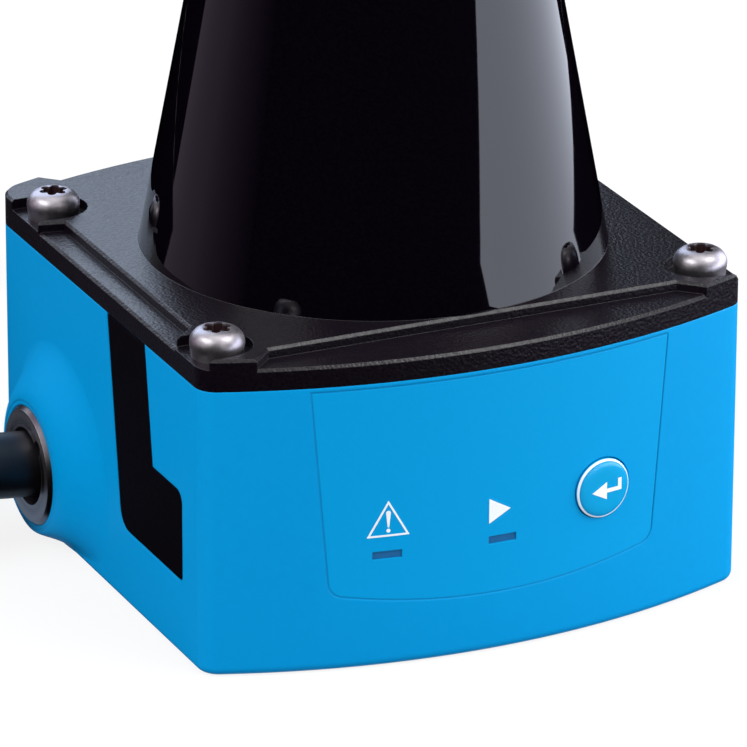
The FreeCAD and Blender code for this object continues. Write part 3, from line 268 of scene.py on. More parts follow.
@dataclass(frozen=True)
class HoodFinish(Finish):
    """Black filter plastic: polished above the flange, etched below it."""

    gloss_from_mm: float = 34.48
    gloss_rough: float = 0.03
    etched_colour: str = "#0a040d"

    def surface(self, tree: bpy.types.NodeTree) -> bpy.types.Node:
        """Add the shader, with texture, dullness and the etched colour only below the polished height.

        Args:
            tree: the material's node tree.

        Returns:
            The shader node.
        """
        shader = super().surface(tree)
        place = add_node(tree, "ShaderNodeTexCoord")
        split = add_node(tree, "ShaderNodeSeparateXYZ", links={0: place.outputs["Object"]})
        etched = add_node(tree, "ShaderNodeMath", {"operation": "LESS_THAN"}, {1: self.gloss_from_mm * MM},
                          {0: split.outputs["Z"]})
        dull = shader.inputs["Roughness"].links[0].from_socket
        gloss = add_node(tree, "ShaderNodeMix", {"data_type": "FLOAT"}, {NUMBER_A: self.gloss_rough},
                         {FACTOR: etched.outputs[0], NUMBER_B: dull})
        tree.links.new(gloss.outputs[0], shader.inputs["Roughness"])
        dark = shader.inputs["Base Color"].links[0].from_socket
        tone = add_node(tree, "ShaderNodeMix", {"data_type": "RGBA"},
                        {COLOUR_B: linear(self.etched_colour)}, {FACTOR: etched.outputs[0], COLOUR_A: dark})
        tree.links.new(tone.outputs[MIXED_COLOUR], shader.inputs["Base Color"])
        bump = shader.inputs["Normal"].links[0].from_node
        tree.links.new(etched.outputs[0], bump.inputs["Strength"])
        return shader


@dataclass(frozen=True)
class ScrewFinish(Finish):
    """Bright screw steel with painted shade in its recess, which is coloured darker than its crown."""

    screw_mm: tuple[float, float] = (27.05, 21.5)
    recess_radius_mm: float = 1.55
    recess_below_mm: float = 36.1
    recess_shade_colour: str = "#6e585b"

    def surface(self, tree: bpy.types.NodeTree) -> bpy.types.Node:
        """Add the shader, with the recess's painted shade colour near each screw's axis and below its crown.

        Args:
            tree: the material's node tree.

        Returns:
            The shader node.
        """
        shader = super().surface(tree)
        place = add_node(tree, "ShaderNodeTexCoord")
        # The four screws stand alike in the four quarters, so one quarter serves for all.
        quarter = add_node(tree, "ShaderNodeVectorMath", {"operation": "ABSOLUTE"},
                           links={0: place.outputs["Object"]})
        level = add_node(tree, "ShaderNodeVectorMath", {"operation": "MULTIPLY"}, {1: (1.0, 1.0, 0.0)},
                         {0: quarter.outputs[0]})
        axis = tuple(MM * c for c in self.screw_mm) + (0.0,)
        radius = add_node(tree, "ShaderNodeVectorMath", {"operation": "DISTANCE"}, {1: axis},
                          {0: level.outputs[0]})
        near = add_node(tree, "ShaderNodeMath", {"operation": "LESS_THAN"}, {1: self.recess_radius_mm * MM},
                        {0: radius.outputs["Value"]})
        split = add_node(tree, "ShaderNodeSeparateXYZ", links={0: place.outputs["Object"]})
        deep = add_node(tree, "ShaderNodeMath", {"operation": "LESS_THAN"}, {1: self.recess_below_mm * MM},
                        {0: split.outputs["Z"]})
        # Painted shade: inside the recess, near the axis and below the crown, the steel is coloured darker.
        inside = add_node(tree, "ShaderNodeMath", {"operation": "MULTIPLY"},
                          links={0: near.outputs[0], 1: deep.outputs[0]})
        bright = shader.inputs["Base Color"].links[0].from_socket
        tone = add_node(tree, "ShaderNodeMix", {"data_type": "RGBA"}, {COLOUR_B: linear(self.recess_shade_colour)},
                        {FACTOR: inside.outputs[0], COLOUR_A: bright})
        tree.links.new(tone.outputs[MIXED_COLOUR], shader.inputs["Base Color"])
        return shader


# Blue powder coat on an aluminium casting: even colour, soft satin glare, faint orange peel.
CASTING_PAINT = Finish("powder_coated_casting", "#0094d6", "#0090d1", 0.42, 0.03, 0.9, 0.005,
                       specular=0.06, round_mm=0.35)
# Moulded ABS of the panel, in the same blue: a little lighter and duller than the paint.
PANEL_ABS = Finish("blue_moulded_abs", "#0098d8", "#0094d4", 0.45, 0.04, 0.35, 0.003, specular=0.06,
                   round_mm=0.12)
# A strip laid in the panel's open joint, in the same blue, dull and a little deeper: painted shade of the
# gap.
PANEL_JOINT_SHADE = Finish("painted_joint_shade", "#008fcd", "#008bc8", 0.6, 0.04, 0.3, 0.002, specular=0.1)
# Moulded ABS of the button: lighter and smoother than the panel's.
BUTTON_ABS = Finish("blue_button_abs", "#029fdb", "#009ad6", 0.22, 0.03, 0.3, 0.002, round_mm=0.1)
# Infrared-pass polycarbonate: almost black with a violet cast, polished hood, etched flange.
# The etched pits are drawn coarser than real ones, so that they show.
HOOD_PLASTIC = HoodFinish("infrared_pass_polycarbonate", "#07040a", "#040206", 0.33, 0.08, 0.34, 0.034,
                          ior=1.58, specular=0.25, relief=Relief.PEBBLE, round_mm=0.12)
# Stainless steel screws, cold headed and tumbled: pale grey with a soft, slightly uneven gloss, and painted
# shade in their recesses.
STAINLESS = ScrewFinish("tumbled_stainless_steel", "#aca7ad", "#938e95", 0.4, 0.07, 0.5, 0.005,
                        metallic=1.0)
# Matte silicone rubber of the flap: deep black, no glare, very fine pits.
COVER_RUBBER = Finish("matte_silicone_rubber", "#06030a", "#040206", 0.7, 0.08, 0.3, 0.006,
                      relief=Relief.PEBBLE, round_mm=0.15, ior=1.43, specular=0.06)
# Turned brass with satin nickel plating: neutral grey rings.
NICKEL = Finish("satin_nickel_plated_brass", "#a9a6ab", "#8a868d", 0.3, 0.06, 0.25, 0.003, metallic=1.0,
                relief=Relief.TURNED, centre_mm=(0.0, 15.0, 8.5))
# Polyurethane cable jacket, extruded: satin black with a faint uneven skin.
JACKET = Finish("extruded_polyurethane_jacket", "#0f0c12", "#0a080d", 0.4, 0.05, 0.6, 0.006, specular=0.5)
# Chloroprene of the grommet and seal: soft dull black.
GASKET_RUBBER = Finish("chloroprene_rubber", "#17151a", "#100e12", 0.7, 0.06, 0.4, 0.006)
# Clear polycarbonate light pipes, tinted dark by the unlit lamp behind.
LIGHT_PIPE = Finish("tinted_light_pipe", "#1d69a2", "#175b92", 0.25, 0.04, 0.5, 0.002, ior=1.58)
# White pad-printing ink: thin, opaque, slightly chalky.
PRINT_INK = Finish("white_pad_print_ink", "#f4f8fa", "#e8f0f4", 0.5, 0.05, 0.12, 0.001)
# Woven nylon tape of the coil's tie.
TIE_TAPE = Finish("woven_nylon_tape", "#1b1a1e", "#0c0b0e", 0.75, 0.06, 0.7, 0.05, relief=Relief.WOVEN)
# Glass-filled polyamide of the plug body: dull black with a moulded grain.
PLUG_NYLON = Finish("glass_filled_polyamide", "#1a191c", "#111013", 0.52, 0.08, 0.3, 0.01, round_mm=0.2)
# Nickel-plated knurled ring of the plug.
NUT_NICKEL = Finish("nickel_plated_ring", "#bdb9b2", "#9c978f", 0.28, 0.06, 0.3, 0.004, metallic=1.0,
                    round_mm=0.12)
# Moulded insert with its gilt contact pins.
INSERT_PLASTIC = Finish("moulded_contact_insert", "#2a292d", "#1f1e22", 0.5, 0.05, 0.3, 0.004)
# Green solder mask over glass fibre: glossy, with the weave just showing.
SOLDER_MASK = Finish("green_solder_mask", "#14532d", "#0d4022", 0.32, 0.08, 0.6, 0.006,
                     relief=Relief.WOVEN)
# Turned and milled aluminium: pale grey, fine tool marks.
ALUMINIUM = Finish("turned_aluminium", "#c4c6c8", "#a6a8ab", 0.34, 0.08, 0.3, 0.004, metallic=1.0,
                   relief=Relief.SPUN)
# Ground bearing steel: bright and smooth.
BEARING_STEEL = Finish("ground_bearing_steel", "#c6c5c3", "#aaa9a7", 0.2, 0.06, 0.25, 0.002, metallic=1.0,
                       relief=Relief.SPUN)
# Stacked silicon-steel sheets of the stator, with their edges showing.
STATOR_STEEL = Finish("laminated_silicon_steel", "#6f6a66", "#3f3b39", 0.45, 0.1, 0.35, 0.02, metallic=1.0,
                      relief=Relief.STACKED)
# Sintered magnet ring: dark grey, matt.
MAGNET = Finish("sintered_magnet", "#4c4a4b", "#343234", 0.5, 0.1, 0.2, 0.008, metallic=0.6)
# Silvered front-surface mirror: clean and bright.
MIRROR_SILVER = Finish("silvered_mirror_glass", "#e8eaec", "#e0e3e6", 0.04, 0.02, 2.0, 0.0002, metallic=1.0)
# Polished lens glass with a faint blue coating.
LENS_GLASS = Finish("coated_lens_glass", "#dfe8f4", "#cfdcf0", 0.04, 0.02, 3.0, 0.0002, ior=1.52,
                    transmission=0.9)
# Chromed etched encoder glass.
ENCODER_GLASS = Finish("etched_encoder_disc", "#aeb4ba", "#5d6268", 0.12, 0.05, 0.5, 0.001, metallic=0.8,
                       relief=Relief.SPUN)
# Black moulded polyamide of brackets and carriers.
BRACKET_NYLON = Finish("black_moulded_polyamide", "#202024", "#17171a", 0.5, 0.08, 0.35, 0.008)
# Zinc-plated steel screws inside.
ZINC = Finish("zinc_plated_steel", "#b9bcc0", "#9b9ea3", 0.3, 0.08, 0.4, 0.004, metallic=1.0)
# Tin-plated socket shell.
TINPLATE = Finish("tin_plated_shell", "#c2c2c0", "#a9a9a7", 0.3, 0.07, 0.5, 0.004, metallic=1.0)
# Amber polyimide film of the flat ribbon.
POLYIMIDE = Finish("amber_polyimide_film", "#9c5a18", "#84490f", 0.3, 0.06, 0.6, 0.003)
# White lamp bodies of the status lights.
LAMP_BODY = Finish("white_lamp_body", "#e9e7df", "#dcdad0", 0.4, 0.05, 0.3, 0.002)
# Gold-plated can of the laser.
LASER_CAN = Finish("gold_plated_can", "#c9a35a", "#b08a45", 0.25, 0.06, 0.3, 0.003, metallic=1.0)
# Dark moulded package of the sensor chip.
CHIP_EPOXY = Finish("moulded_chip_epoxy", "#232226", "#1a191c", 0.55, 0.06, 0.25, 0.005)

NODE_FINISHES: dict[str, Finish] = {
    "housing": CASTING_PAINT, "optics_hood": HOOD_PLASTIC, "hood_screws": STAINLESS,
    "front_panel": PANEL_ABS, "fault_light_pipe": LIGHT_PIPE, "ready_light_pipe": LIGHT_PIPE,
    "teach_button": BUTTON_ABS, "usb_cover": COVER_RUBBER, "gland_disc": NICKEL,
    "cable_grommet": GASKET_RUBBER, "hood_seal": GASKET_RUBBER, "main_board": SOLDER_MASK,
    "front_board": SOLDER_MASK, "receiver_board": SOLDER_MASK, "board_screws": ZINC,
    "usb_socket": TINPLATE, "status_leds": LAMP_BODY, "teach_switch": CHIP_EPOXY,
    "chassis_plate": ALUMINIUM, "chassis_screws": ZINC, "bearing_tube": ALUMINIUM,
    "lower_bearing": BEARING_STEEL, "upper_bearing": BEARING_STEEL, "stator": STATOR_STEEL,
    "rotor_bell": ALUMINIUM, "rotor_magnet": MAGNET, "motor_shaft": BEARING_STEEL,
    "encoder_disc": ENCODER_GLASS, "encoder_sensor": CHIP_EPOXY, "mirror_carrier": BRACKET_NYLON,
    "scan_mirror": MIRROR_SILVER, "optics_bracket": BRACKET_NYLON, "bracket_screws": ZINC,
    "receiver_lens": LENS_GLASS, "laser_tube": LASER_CAN, "flex_cable": POLYIMIDE,
    "cable": JACKET, "cable_coil": JACKET, "cable_tail": JACKET, "coil_tie": TIE_TAPE,
    "connector_body": PLUG_NYLON, "connector_nut": NUT_NICKEL, "connector_insert": INSERT_PLASTIC,
}


def mesh_object(name: str, verts: np.ndarray, faces: list[list[int]],
                material: bpy.types.Material) -> bpy.types.Object:
    """Put points and faces into a new object at the origin, with its faces turned outwards.

    Args:
        name: the piece's name.
        verts: points in metres, one row each.
        faces: corner numbers of each face.
        material: what the piece is made of.

    Returns:
        The new object, linked to the scene.
    """
    mesh = bpy.data.meshes.new(name)
    mesh.from_pydata(verts.tolist(), [], faces)
    turned = bmesh.new()
    turned.from_mesh(mesh)
    bmesh.ops.recalc_face_normals(turned, faces=turned.faces)
    turned.to_mesh(mesh)
    turned.free()
    mesh.materials.append(material)
    return add_object(name, mesh)


def grid_faces(rows: int, columns: int, round_rows: bool = False,
               round_columns: bool = False) -> list[list[int]]:
    """Number the four corners of each cell of a grid stored row by row.

    Args:
        rows: points along the first parameter.
        columns: points along the second parameter.
        round_rows: whether the last row joins the first.
        round_columns: whether the last column joins the first.

    Returns:
        Four corner numbers for each cell.
    """
    row, column = np.meshgrid(np.arange(rows - (not round_rows)), np.arange(columns - (not round_columns)),
                              indexing="ij")
    ahead, beside = (row + 1) % rows, (column + 1) % columns
    corners = [row * columns + column, row * columns + beside, ahead * columns + beside,
               ahead * columns + column]
    return np.stack([c.ravel() for c in corners], axis=1).tolist()


class Smoother:
    """Shade meshes smoothly over curves and sharply at their edges."""

    def __init__(self, sharp_degrees: float = 22.0, merge_mm: float = 0.002) -> None:
        """Keep the angle from which an edge stays sharp, and the gap within which corners merge."""
        self.sharp = math.radians(sharp_degrees)
        self.merge = merge_mm * MM

    def group(self) -> bpy.types.NodeTree:
        """Make the modifier's node group: merge the loose corners, then mark sharp edges.

        Returns:
            The geometry node group, made once.
        """
        name = "shade_by_angle"
        found = bpy.data.node_groups.get(name)
        if found:
            return found
        tree = bpy.data.node_groups.new(name, "GeometryNodeTree")
        tree.interface.new_socket("Geometry", in_out="INPUT", socket_type="NodeSocketGeometry")
        tree.interface.new_socket("Geometry", in_out="OUTPUT", socket_type="NodeSocketGeometry")
        start = add_node(tree, "NodeGroupInput")
        merged = add_node(tree, "GeometryNodeMergeByDistance", values={"Distance": self.merge},
                          links={"Geometry": start.outputs[0]})
        soft = add_node(tree, "GeometryNodeSetShadeSmooth", {"domain": "FACE"}, {"Shade Smooth": True},
                        {"Geometry": merged.outputs[0]})
        angle = add_node(tree, "GeometryNodeInputMeshEdgeAngle")
        blunt = add_node(tree, "FunctionNodeCompare", {"operation": "LESS_THAN"}, {1: self.sharp},
                         {0: angle.outputs["Unsigned Angle"]})
        edged = add_node(tree, "GeometryNodeSetShadeSmooth", {"domain": "EDGE"},
                         links={"Geometry": soft.outputs[0], "Shade Smooth": blunt.outputs[0]})
        add_node(tree, "NodeGroupOutput", links={0: edged.outputs[0]})
        return tree

    def apply(self, piece: bpy.types.Object) -> None:
        """Give one piece the shading modifier."""
        modifier = piece.modifiers.new("shade_by_angle", "NODES")
        modifier.node_group = self.group()


@dataclass
class Camera:
    """The photograph's camera, in the model's frame, in millimetres and degrees."""

    target_mm: tuple[float, float, float] = (-0.828, -1.974, 19.837)
    azimuth: float = -24.814
    elevation: float = 21.927
    roll: float = 0.217
    distance_mm: float = 721.1
    lens: float = 333.1
    sensor: float = 36.0
    clip_start_m: float = 0.01

    def build(self) -> bpy.types.Object:
        """Make the camera and give it to the scene.

        Returns:
            The camera object.
        """
        data = bpy.data.cameras.new("photo_camera")
        data.lens = self.lens
        data.sensor_width = self.sensor
        data.clip_start = self.clip_start_m
        camera = add_object("photo_camera", data)
        back = toward(self.azimuth, self.elevation)
        turn = math.radians(self.azimuth)
        right = Vector((math.cos(turn), math.sin(turn), 0.0))
        up = back.cross(right)
        lean = math.radians(self.roll)
        across = math.cos(lean) * right + math.sin(lean) * up
        upward = math.cos(lean) * up - math.sin(lean) * right
        frame = Matrix((across, upward, back)).transposed().to_4x4()
        frame.translation = (Vector(self.target_mm) + back * self.distance_mm) * MM
        camera.matrix_world = frame
        bpy.context.scene.camera = camera
        return camera


@dataclass
class StoredCable:
    """The cable: a short lead over the coil, four stored turns and the run to the plug."""

    diameter_mm: float = 7.0
    exit_mm: tuple[float, float, float] = (-33.2, 15.0, 8.5)
    lead_mm: tuple[tuple[float, float, float], ...] = (
        (-25.0, 15.0, 8.5), (-37.0, 15.0, 8.5), (-50.0, 15.1, 12.01), (-64.0, 15.1, 12.11))
    tail_mm: tuple[tuple[float, float, float], ...] = (
        (-64.25, 88.5, 4.45), (-51.5, 88.5, 7.2), (-47.5, 88.5, 7.2))
    centre_mm: tuple[float, float] = (-77.0, 46.5)
    floor_z_mm: float = 4.45
    top_z_mm: float = 10.51
    # Angle wound from the front, radius and height, between which the turns run evenly.
    turn_degrees: tuple[float, ...] = (0, 220, 265, 300, 350, 600, 650, 960, 1010, 1260)
    turn_radius_mm: tuple[float, ...] = (31.5, 31.5, 31.5, 31.5, 28, 28, 35, 35, 42, 42)
    turn_lift: tuple[float, ...] = (1.0, 1.0, 1.13, 1.0, 0, 0, 0, 0, 0, 0)
    step_degrees: float = 15.0
    smooth_steps: int = 6
    with_nodes: tuple[str, ...] = ("coil_tie", "connector_body", "connector_nut", "connector_insert")

    def turns(self) -> np.ndarray:
        """Work out the coil's control points.

        A point at wound angle w lies at polar angle 270 degrees minus w about the coil's centre,
        at the radius and height that the plan gives for w.

        Returns:
            Points in millimetres, one row each.
        """
        steps = round(self.turn_degrees[-1] / self.step_degrees)
        wound = np.linspace(0.0, self.turn_degrees[-1], steps + 1)
        radius = np.interp(wound, self.turn_degrees, self.turn_radius_mm)
        lift = np.interp(wound, self.turn_degrees, self.turn_lift)
        height = self.floor_z_mm + (self.top_z_mm - self.floor_z_mm) * lift
        polar = np.radians(270.0 - wound)
        # Control points stand outside the line that the spline draws between them.
        radius = radius / math.cos(math.radians(self.step_degrees / 2.0))
        x = self.centre_mm[0] + radius * np.cos(polar)
        y = self.centre_mm[1] + radius * np.sin(polar)
        return np.stack([x, y, height], axis=1)

    def build(self, frame: dict[str, Any]) -> bpy.types.Object:
        """Returns:
            The cable's curve object.
        """
        route = np.concatenate([np.array(self.lead_mm), self.turns(), np.array(self.tail_mm)]) * MM
        curve = bpy.data.curves.new("sensor_cable", "CURVE")
        curve.dimensions = "3D"
        curve.bevel_depth = self.diameter_mm * MM / 2.0
        curve.bevel_resolution = self.smooth_steps
        curve.resolution_u = self.smooth_steps
        spline = curve.splines.new("NURBS")
        spline.points.add(len(route) - 1)
        spline.points.foreach_set("co", np.column_stack([route, np.ones(len(route))]).ravel())
        spline.order_u = 3
        spline.use_endpoint_u = True
        curve.materials.append(JACKET.material())
        cable = add_object("sensor_cable", curve)
        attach(cable, BASE)
        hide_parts("cable", "cable_coil", "cable_tail")
        return cable


@dataclass
class BossFairing:
    """The casting's smooth rise from the side wall to the cable boss's rim."""

    centre_mm: tuple[float, float] = (15.0, 8.5)
    wall_mm: float = 30.3
    rim_mm: tuple[float, float] = (6.9, 7.2)
    rise_mm: float = 2.52
    front_run_mm: float = 9.0
    rear_run_mm: float = 1.1
    table_share: float = 0.8
    blend_power: float = 4.0
    least_drop: float = 0.001
    sunk_mm: tuple[float, float] = (0.02, 0.5)
    around: int = 180
    outward: int = 24

    def build(self) -> bpy.types.Object:
        """Build the fairing as a closed ring round the boss's axis.

        A ray at angle a from the front leaves the rim and runs out by a length that falls from the
        front run to the rear run as the cosine of a / 2. Near the table it is shortened to a share of
        the room there: one over its fourth power is the sum of one over theirs, which rounds the
        change. Along the ray the height falls as 1 - t * t * (3 - 2 t), and the ring closes inside
        the wall.

        Returns:
            The fairing, riding on the base.
        """
        angle = np.linspace(-np.pi, np.pi, self.around, endpoint=False)
        inner, rim = self.rim_mm
        run = self.rear_run_mm + (self.front_run_mm - self.rear_run_mm) * np.cos(angle / 2.0)
        drop = np.maximum(-np.sin(angle), self.least_drop)
        room = self.table_share * (self.centre_mm[1] / drop - rim)
        run = (run ** -self.blend_power + room ** -self.blend_power) ** (-1.0 / self.blend_power)
        share = np.linspace(0.0, 1.0, self.outward)
        shallow, deep = self.sunk_mm
        slope = (self.rise_mm + shallow) * (1.0 - share ** 2 * (3.0 - 2.0 * share)) - shallow
        height = np.concatenate([[-deep, self.rise_mm], slope, [-deep]])
        radius = rim + np.outer(np.concatenate([[0.0, 0.0], share, [1.0]]), run)
        radius[:2] = inner
        x = np.broadcast_to(-(self.wall_mm + height)[:, None], radius.shape)
        y = self.centre_mm[0] - radius * np.cos(angle)
        z = self.centre_mm[1] + radius * np.sin(angle)
        verts = np.stack([x, y, z], axis=-1).reshape(-1, 3) * MM
        faces = grid_faces(*radius.shape, round_rows=True, round_columns=True)
        fairing = mesh_object("boss_fairing", verts, faces, CASTING_PAINT.material())
        Smoother().apply(fairing)
        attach(fairing, BASE)
        LOG.info("fairing of the cable boss: %d points", len(verts))
        return fairing


@dataclass
class PanelPrint:
    """White signs on the bowed front panel, and the button's domed cap with its rim and sign."""

    bow_radius_mm: float = 78.303
    bow_centre_y_mm: float = 47.303
    film_mm: float = 0.02
    warning_mm: tuple[tuple[float, float], ...] = ((-12.1, 18.25), (-14.33, 14.35), (-9.89, 14.35))
    warning_line_mm: float = 0.2
    mark_top_mm: float = 16.9
    mark_low_mm: float = 15.42
    mark_radii_mm: tuple[float, float] = (0.25, 0.09)
    dot_mm: tuple[float, float] = (14.98, 0.21)
    play_mm: tuple[tuple[float, float], ...] = ((-1.3, 16.9), (-1.3, 14.2), (1.1, 15.55))
    panel_top_mm: tuple[float, float] = (19.8, 30.45)
    panel_low_mm: tuple[float, float] = (18.0, 8.45)
    panel_sag_mm: float = 1.8
    panel_corner_mm: float = 1.6
    panel_gap_mm: float = 0.12
    joint_shade_depths_mm: tuple[float, float] = (0.5, 0.03)
    button_mm: tuple[float, float] = (11.9, 15.55)
    button_radius_mm: float = 3.2
    button_round_mm: float = 0.3
    button_proud_mm: float = 0.35
    rim_mm: tuple[float, float] = (0.08, 0.27)
    cap_flat_mm: float = 1.7
    cap_height_mm: float = 0.22
    # The return sign's corners from the button's middle, anticlockwise from the arrow's tip.
    arrow_mm: tuple[tuple[float, float], ...] = (
        (-1.53, -0.18), (0.25, -1.12), (0.25, -0.4), (2.05, -0.4), (2.05, 0.9), (1.62, 0.9), (1.62, 0.02),
        (0.25, 0.02), (0.25, 0.76))
    arrow_steps: int = 6
    dot_points: int = 24
    rim_points: int = 7
    cap_points: int = 13
    side_points: int = 12
    bend_points: int = 10
    sag_points: int = 24

    def on_front(self, outlines: np.ndarray, proud_mm: np.ndarray) -> np.ndarray:
        """Lay flat outlines on the bowed front.

        A point at x and z lies on the upright cylinder of the bow radius plus the height that its
        outline stands proud: y is the centre's y minus the root of that radius squared minus x squared.

        Args:
            outlines: x and z in millimetres, by outline and point.
            proud_mm: height of each outline above the panel's face.

        Returns:
            Points in metres, one row each.
        """
        x, z = outlines[..., 0], outlines[..., 1]
        reach = np.sqrt((self.bow_radius_mm + proud_mm[:, None]) ** 2 - x ** 2)
        return np.stack([x, self.bow_centre_y_mm - reach, z], axis=-1).reshape(-1, 3) * MM

    def piece(self, name: str, outlines: np.ndarray, proud_mm: np.ndarray, body: str, finish: Finish,
              ring: bool = False) -> bpy.types.Object:
        """Skin a row of outlines of equal length: closed round as a ring, or filled at both ends.

        The two parameters are the way along an outline and the way from one outline to the next,
        with straight lines between neighbouring points.

        Args:
            name: the piece's name.
            outlines: x and z in millimetres, by outline and point.
            proud_mm: height of each outline above the panel's face.
            body: the body that the piece rides on.
            finish: the piece's material.
            ring: whether the last outline joins the first.

        Returns:
            The new piece.
        """
        rows, columns = outlines.shape[:2]
        faces = grid_faces(rows, columns, round_rows=ring, round_columns=True)
        if not ring:
            first = np.arange(columns)
            faces += [first[::-1].tolist(), (first + (rows - 1) * columns).tolist()]
        made = mesh_object(name, self.on_front(outlines, proud_mm), faces, finish.material())
        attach(made, body)
        LOG.info("print %s on %s", name, body)
        return made

    def sign(self, name: str, outline: np.ndarray, proud_mm: float = 0.0,
             body: str = BASE) -> bpy.types.Object:
        """Print a filled sign as a thin film with the given outline."""
        heights = np.array([proud_mm, proud_mm + self.film_mm])
        return self.piece(name, np.stack([outline, outline]), heights, body, PRINT_INK)

    @staticmethod
    def loop(corners: np.ndarray, per_side: int = 10) -> np.ndarray:
        """Divide a closed outline's straight sides evenly.

        Args:
            corners: x and z of the corners.
            per_side: points on each side.

        Returns:
            Points along the outline, one row each.
        """
        share = np.linspace(0.0, 1.0, per_side, endpoint=False)[None, :, None]
        ahead = np.roll(corners, -1, axis=0)
        return (corners[:, None, :] + (ahead - corners)[:, None, :] * share).reshape(-1, 2)

    @staticmethod
    def circle(x: float, z: float, radius: np.ndarray | float, count: int = 96) -> np.ndarray:
        """Place points evenly on circles about a middle, one circle for each radius.

        Args:
            x: the middle's x.
            z: the middle's z.
            radius: one radius, or several.
            count: points on each circle.

        Returns:
            The points' x and z, by circle and point, or by point for one radius.
        """
        turn = np.linspace(0.0, 2.0 * np.pi, count, endpoint=False)
        unit = np.stack([np.cos(turn), np.sin(turn)], axis=1)
        return np.array([x, z]) + np.multiply.outer(radius, unit)

    def warning(self) -> None:
        """Print the fault sign: an outlined triangle, and its mark with a dot.

        Moving each side of a triangle in by the line's width scales it about its incentre, by one
        minus that width over the inscribed circle's radius. The mark is a half circle at each end,
        the upper one wider, with straight flanks between.
        """
        outer = np.array(self.warning_mm)
        sides = np.linalg.norm(np.roll(outer, -1, axis=0) - np.roll(outer, 1, axis=0), axis=1)
        incentre = (outer * sides[:, None]).sum(axis=0) / sides.sum()
        inradius = (outer[0, 1] - outer[1, 1]) * (outer[2, 0] - outer[1, 0]) / sides.sum()
        inner = incentre + (outer - incentre) * (1.0 - self.warning_line_mm / inradius)
        lines = np.stack([self.loop(inner), self.loop(inner), self.loop(outer), self.loop(outer)])
        heights = np.array([0.0, self.film_mm, self.film_mm, 0.0])
        self.piece("fault_sign_frame", lines, heights, BASE, PRINT_INK, ring=True)
        x = outer[0, 0]
        wide, narrow = self.mark_radii_mm
        half = self.dot_points // 2
        upper = self.circle(x, self.mark_top_mm, wide, self.dot_points)[:half + 1]
        lower = self.circle(x, self.mark_low_mm, narrow, self.dot_points)[half:]
        self.sign("fault_sign_bar", np.concatenate([upper, lower]))
        self.sign("fault_sign_dot", self.circle(x, *self.dot_mm, self.dot_points))

    def button(self) -> None:
        """Build the button's cap, the white rim on its rounded edge and its return sign.

        The rim follows the edge's quarter circle: at radius r it has dropped by the round minus the
        root of the round squared minus the square of r less the flat's radius. The cap is flat to its
        own flat radius and then falls to the button's face along a quarter ellipse.
        """
        x, z = self.button_mm
        face, round_off, top = self.button_proud_mm, self.button_round_mm, self.film_mm
        flat = self.button_radius_mm - round_off
        out = np.linspace(*self.rim_mm, self.rim_points)
        fall = round_off - np.sqrt(round_off ** 2 - out ** 2)
        radii = flat + np.concatenate([out, out[::-1]])
        heights = face - np.concatenate([fall - top, fall[::-1] + top])
        self.piece("button_rim", self.circle(x, z, radii), heights, BUTTON, PRINT_INK, ring=True)
        lean = np.linspace(0.0, 0.5 * np.pi, self.cap_points)
        reach = self.cap_flat_mm + (flat - self.cap_flat_mm) * np.cos(lean)
        crown = face + self.cap_height_mm * np.sin(lean)
        cap = self.piece("button_cap", self.circle(x, z, reach), crown, BUTTON, BUTTON_ABS)
        cap.data.shade_smooth()
        arrow = self.loop(np.array(self.arrow_mm) + (x, z), self.arrow_steps)
        self.sign("button_arrow", arrow, face + self.cap_height_mm, BUTTON)

    def panel_outline(self, grow: float) -> np.ndarray:
        """Draw the panel's outline, moved out by a distance.

        The right half runs from the top's middle down the straight side, round the lower corner and
        along the bottom, whose arc sags below its chord. The corner's centre lies one corner radius
        inside the side, and the arc's radius less the corner radius from the arc's centre. The left
        half mirrors the right.

        Args:
            grow: millimetres to move the outline out.

        Returns:
            x and z of the points, one row each.
        """
        upper = np.array(self.panel_top_mm) + grow
        lower = np.array([self.panel_low_mm[0] + grow, self.panel_low_mm[1] - grow])
        corner = self.panel_corner_mm + grow
        arc = (lower[0] ** 2 + self.panel_sag_mm ** 2) / (2.0 * self.panel_sag_mm)
        middle = np.array([0.0, lower[1] - self.panel_sag_mm + arc])
        down = (lower - upper) / np.linalg.norm(lower - upper)
        start = upper + corner * np.array([down[1], -down[0]])
        along = (start - middle) @ down
        beyond = np.sqrt(along ** 2 - ((start - middle) ** 2).sum() + (arc - corner) ** 2)
        centre = start + (beyond - along) * down
        side_angle = np.arctan2(down[0], -down[1])
        low_angle = np.arctan2(*(centre - middle)[::-1])
        turn = np.linspace(-side_angle, low_angle, self.bend_points)
        bend = centre + corner * np.stack([np.cos(turn), np.sin(turn)], axis=1)
        sweep = np.linspace(low_angle, -0.5 * np.pi, self.sag_points)[1:]
        sag = middle + arc * np.stack([np.cos(sweep), np.sin(sweep)], axis=1)
        top = np.linspace((0.0, upper[1]), upper, self.side_points)[:-1]
        flank = np.linspace(upper, bend[0], self.side_points)[:-1]
        right = np.concatenate([top, flank, bend, sag])
        return np.concatenate([right, right[-2:0:-1] * (-1.0, 1.0)])

    def lay_joint_shade(self) -> None:
        """Lay a strip in the joint round the panel, just under the face, whose deeper blue is painted shade
        of the open gap.
        """
        inner, outer = self.panel_outline(0.0), self.panel_outline(self.panel_gap_mm)
        deep, shallow = self.joint_shade_depths_mm
        heights = -np.array([deep, shallow, shallow, deep])
        # Painted shade: the strip's deeper blue stands in for the shadow in the open joint.
        self.piece("panel_joint_shade", np.stack([inner, inner, outer, outer]), heights, BASE, PANEL_JOINT_SHADE, ring=True)

    def build(self) -> None:
        """Print every sign of the panel, lay painted shade in its joint and build the button's cap."""
        self.lay_joint_shade()
        self.warning()
        self.sign("ready_sign", self.loop(np.array(self.play_mm)))
        self.button()


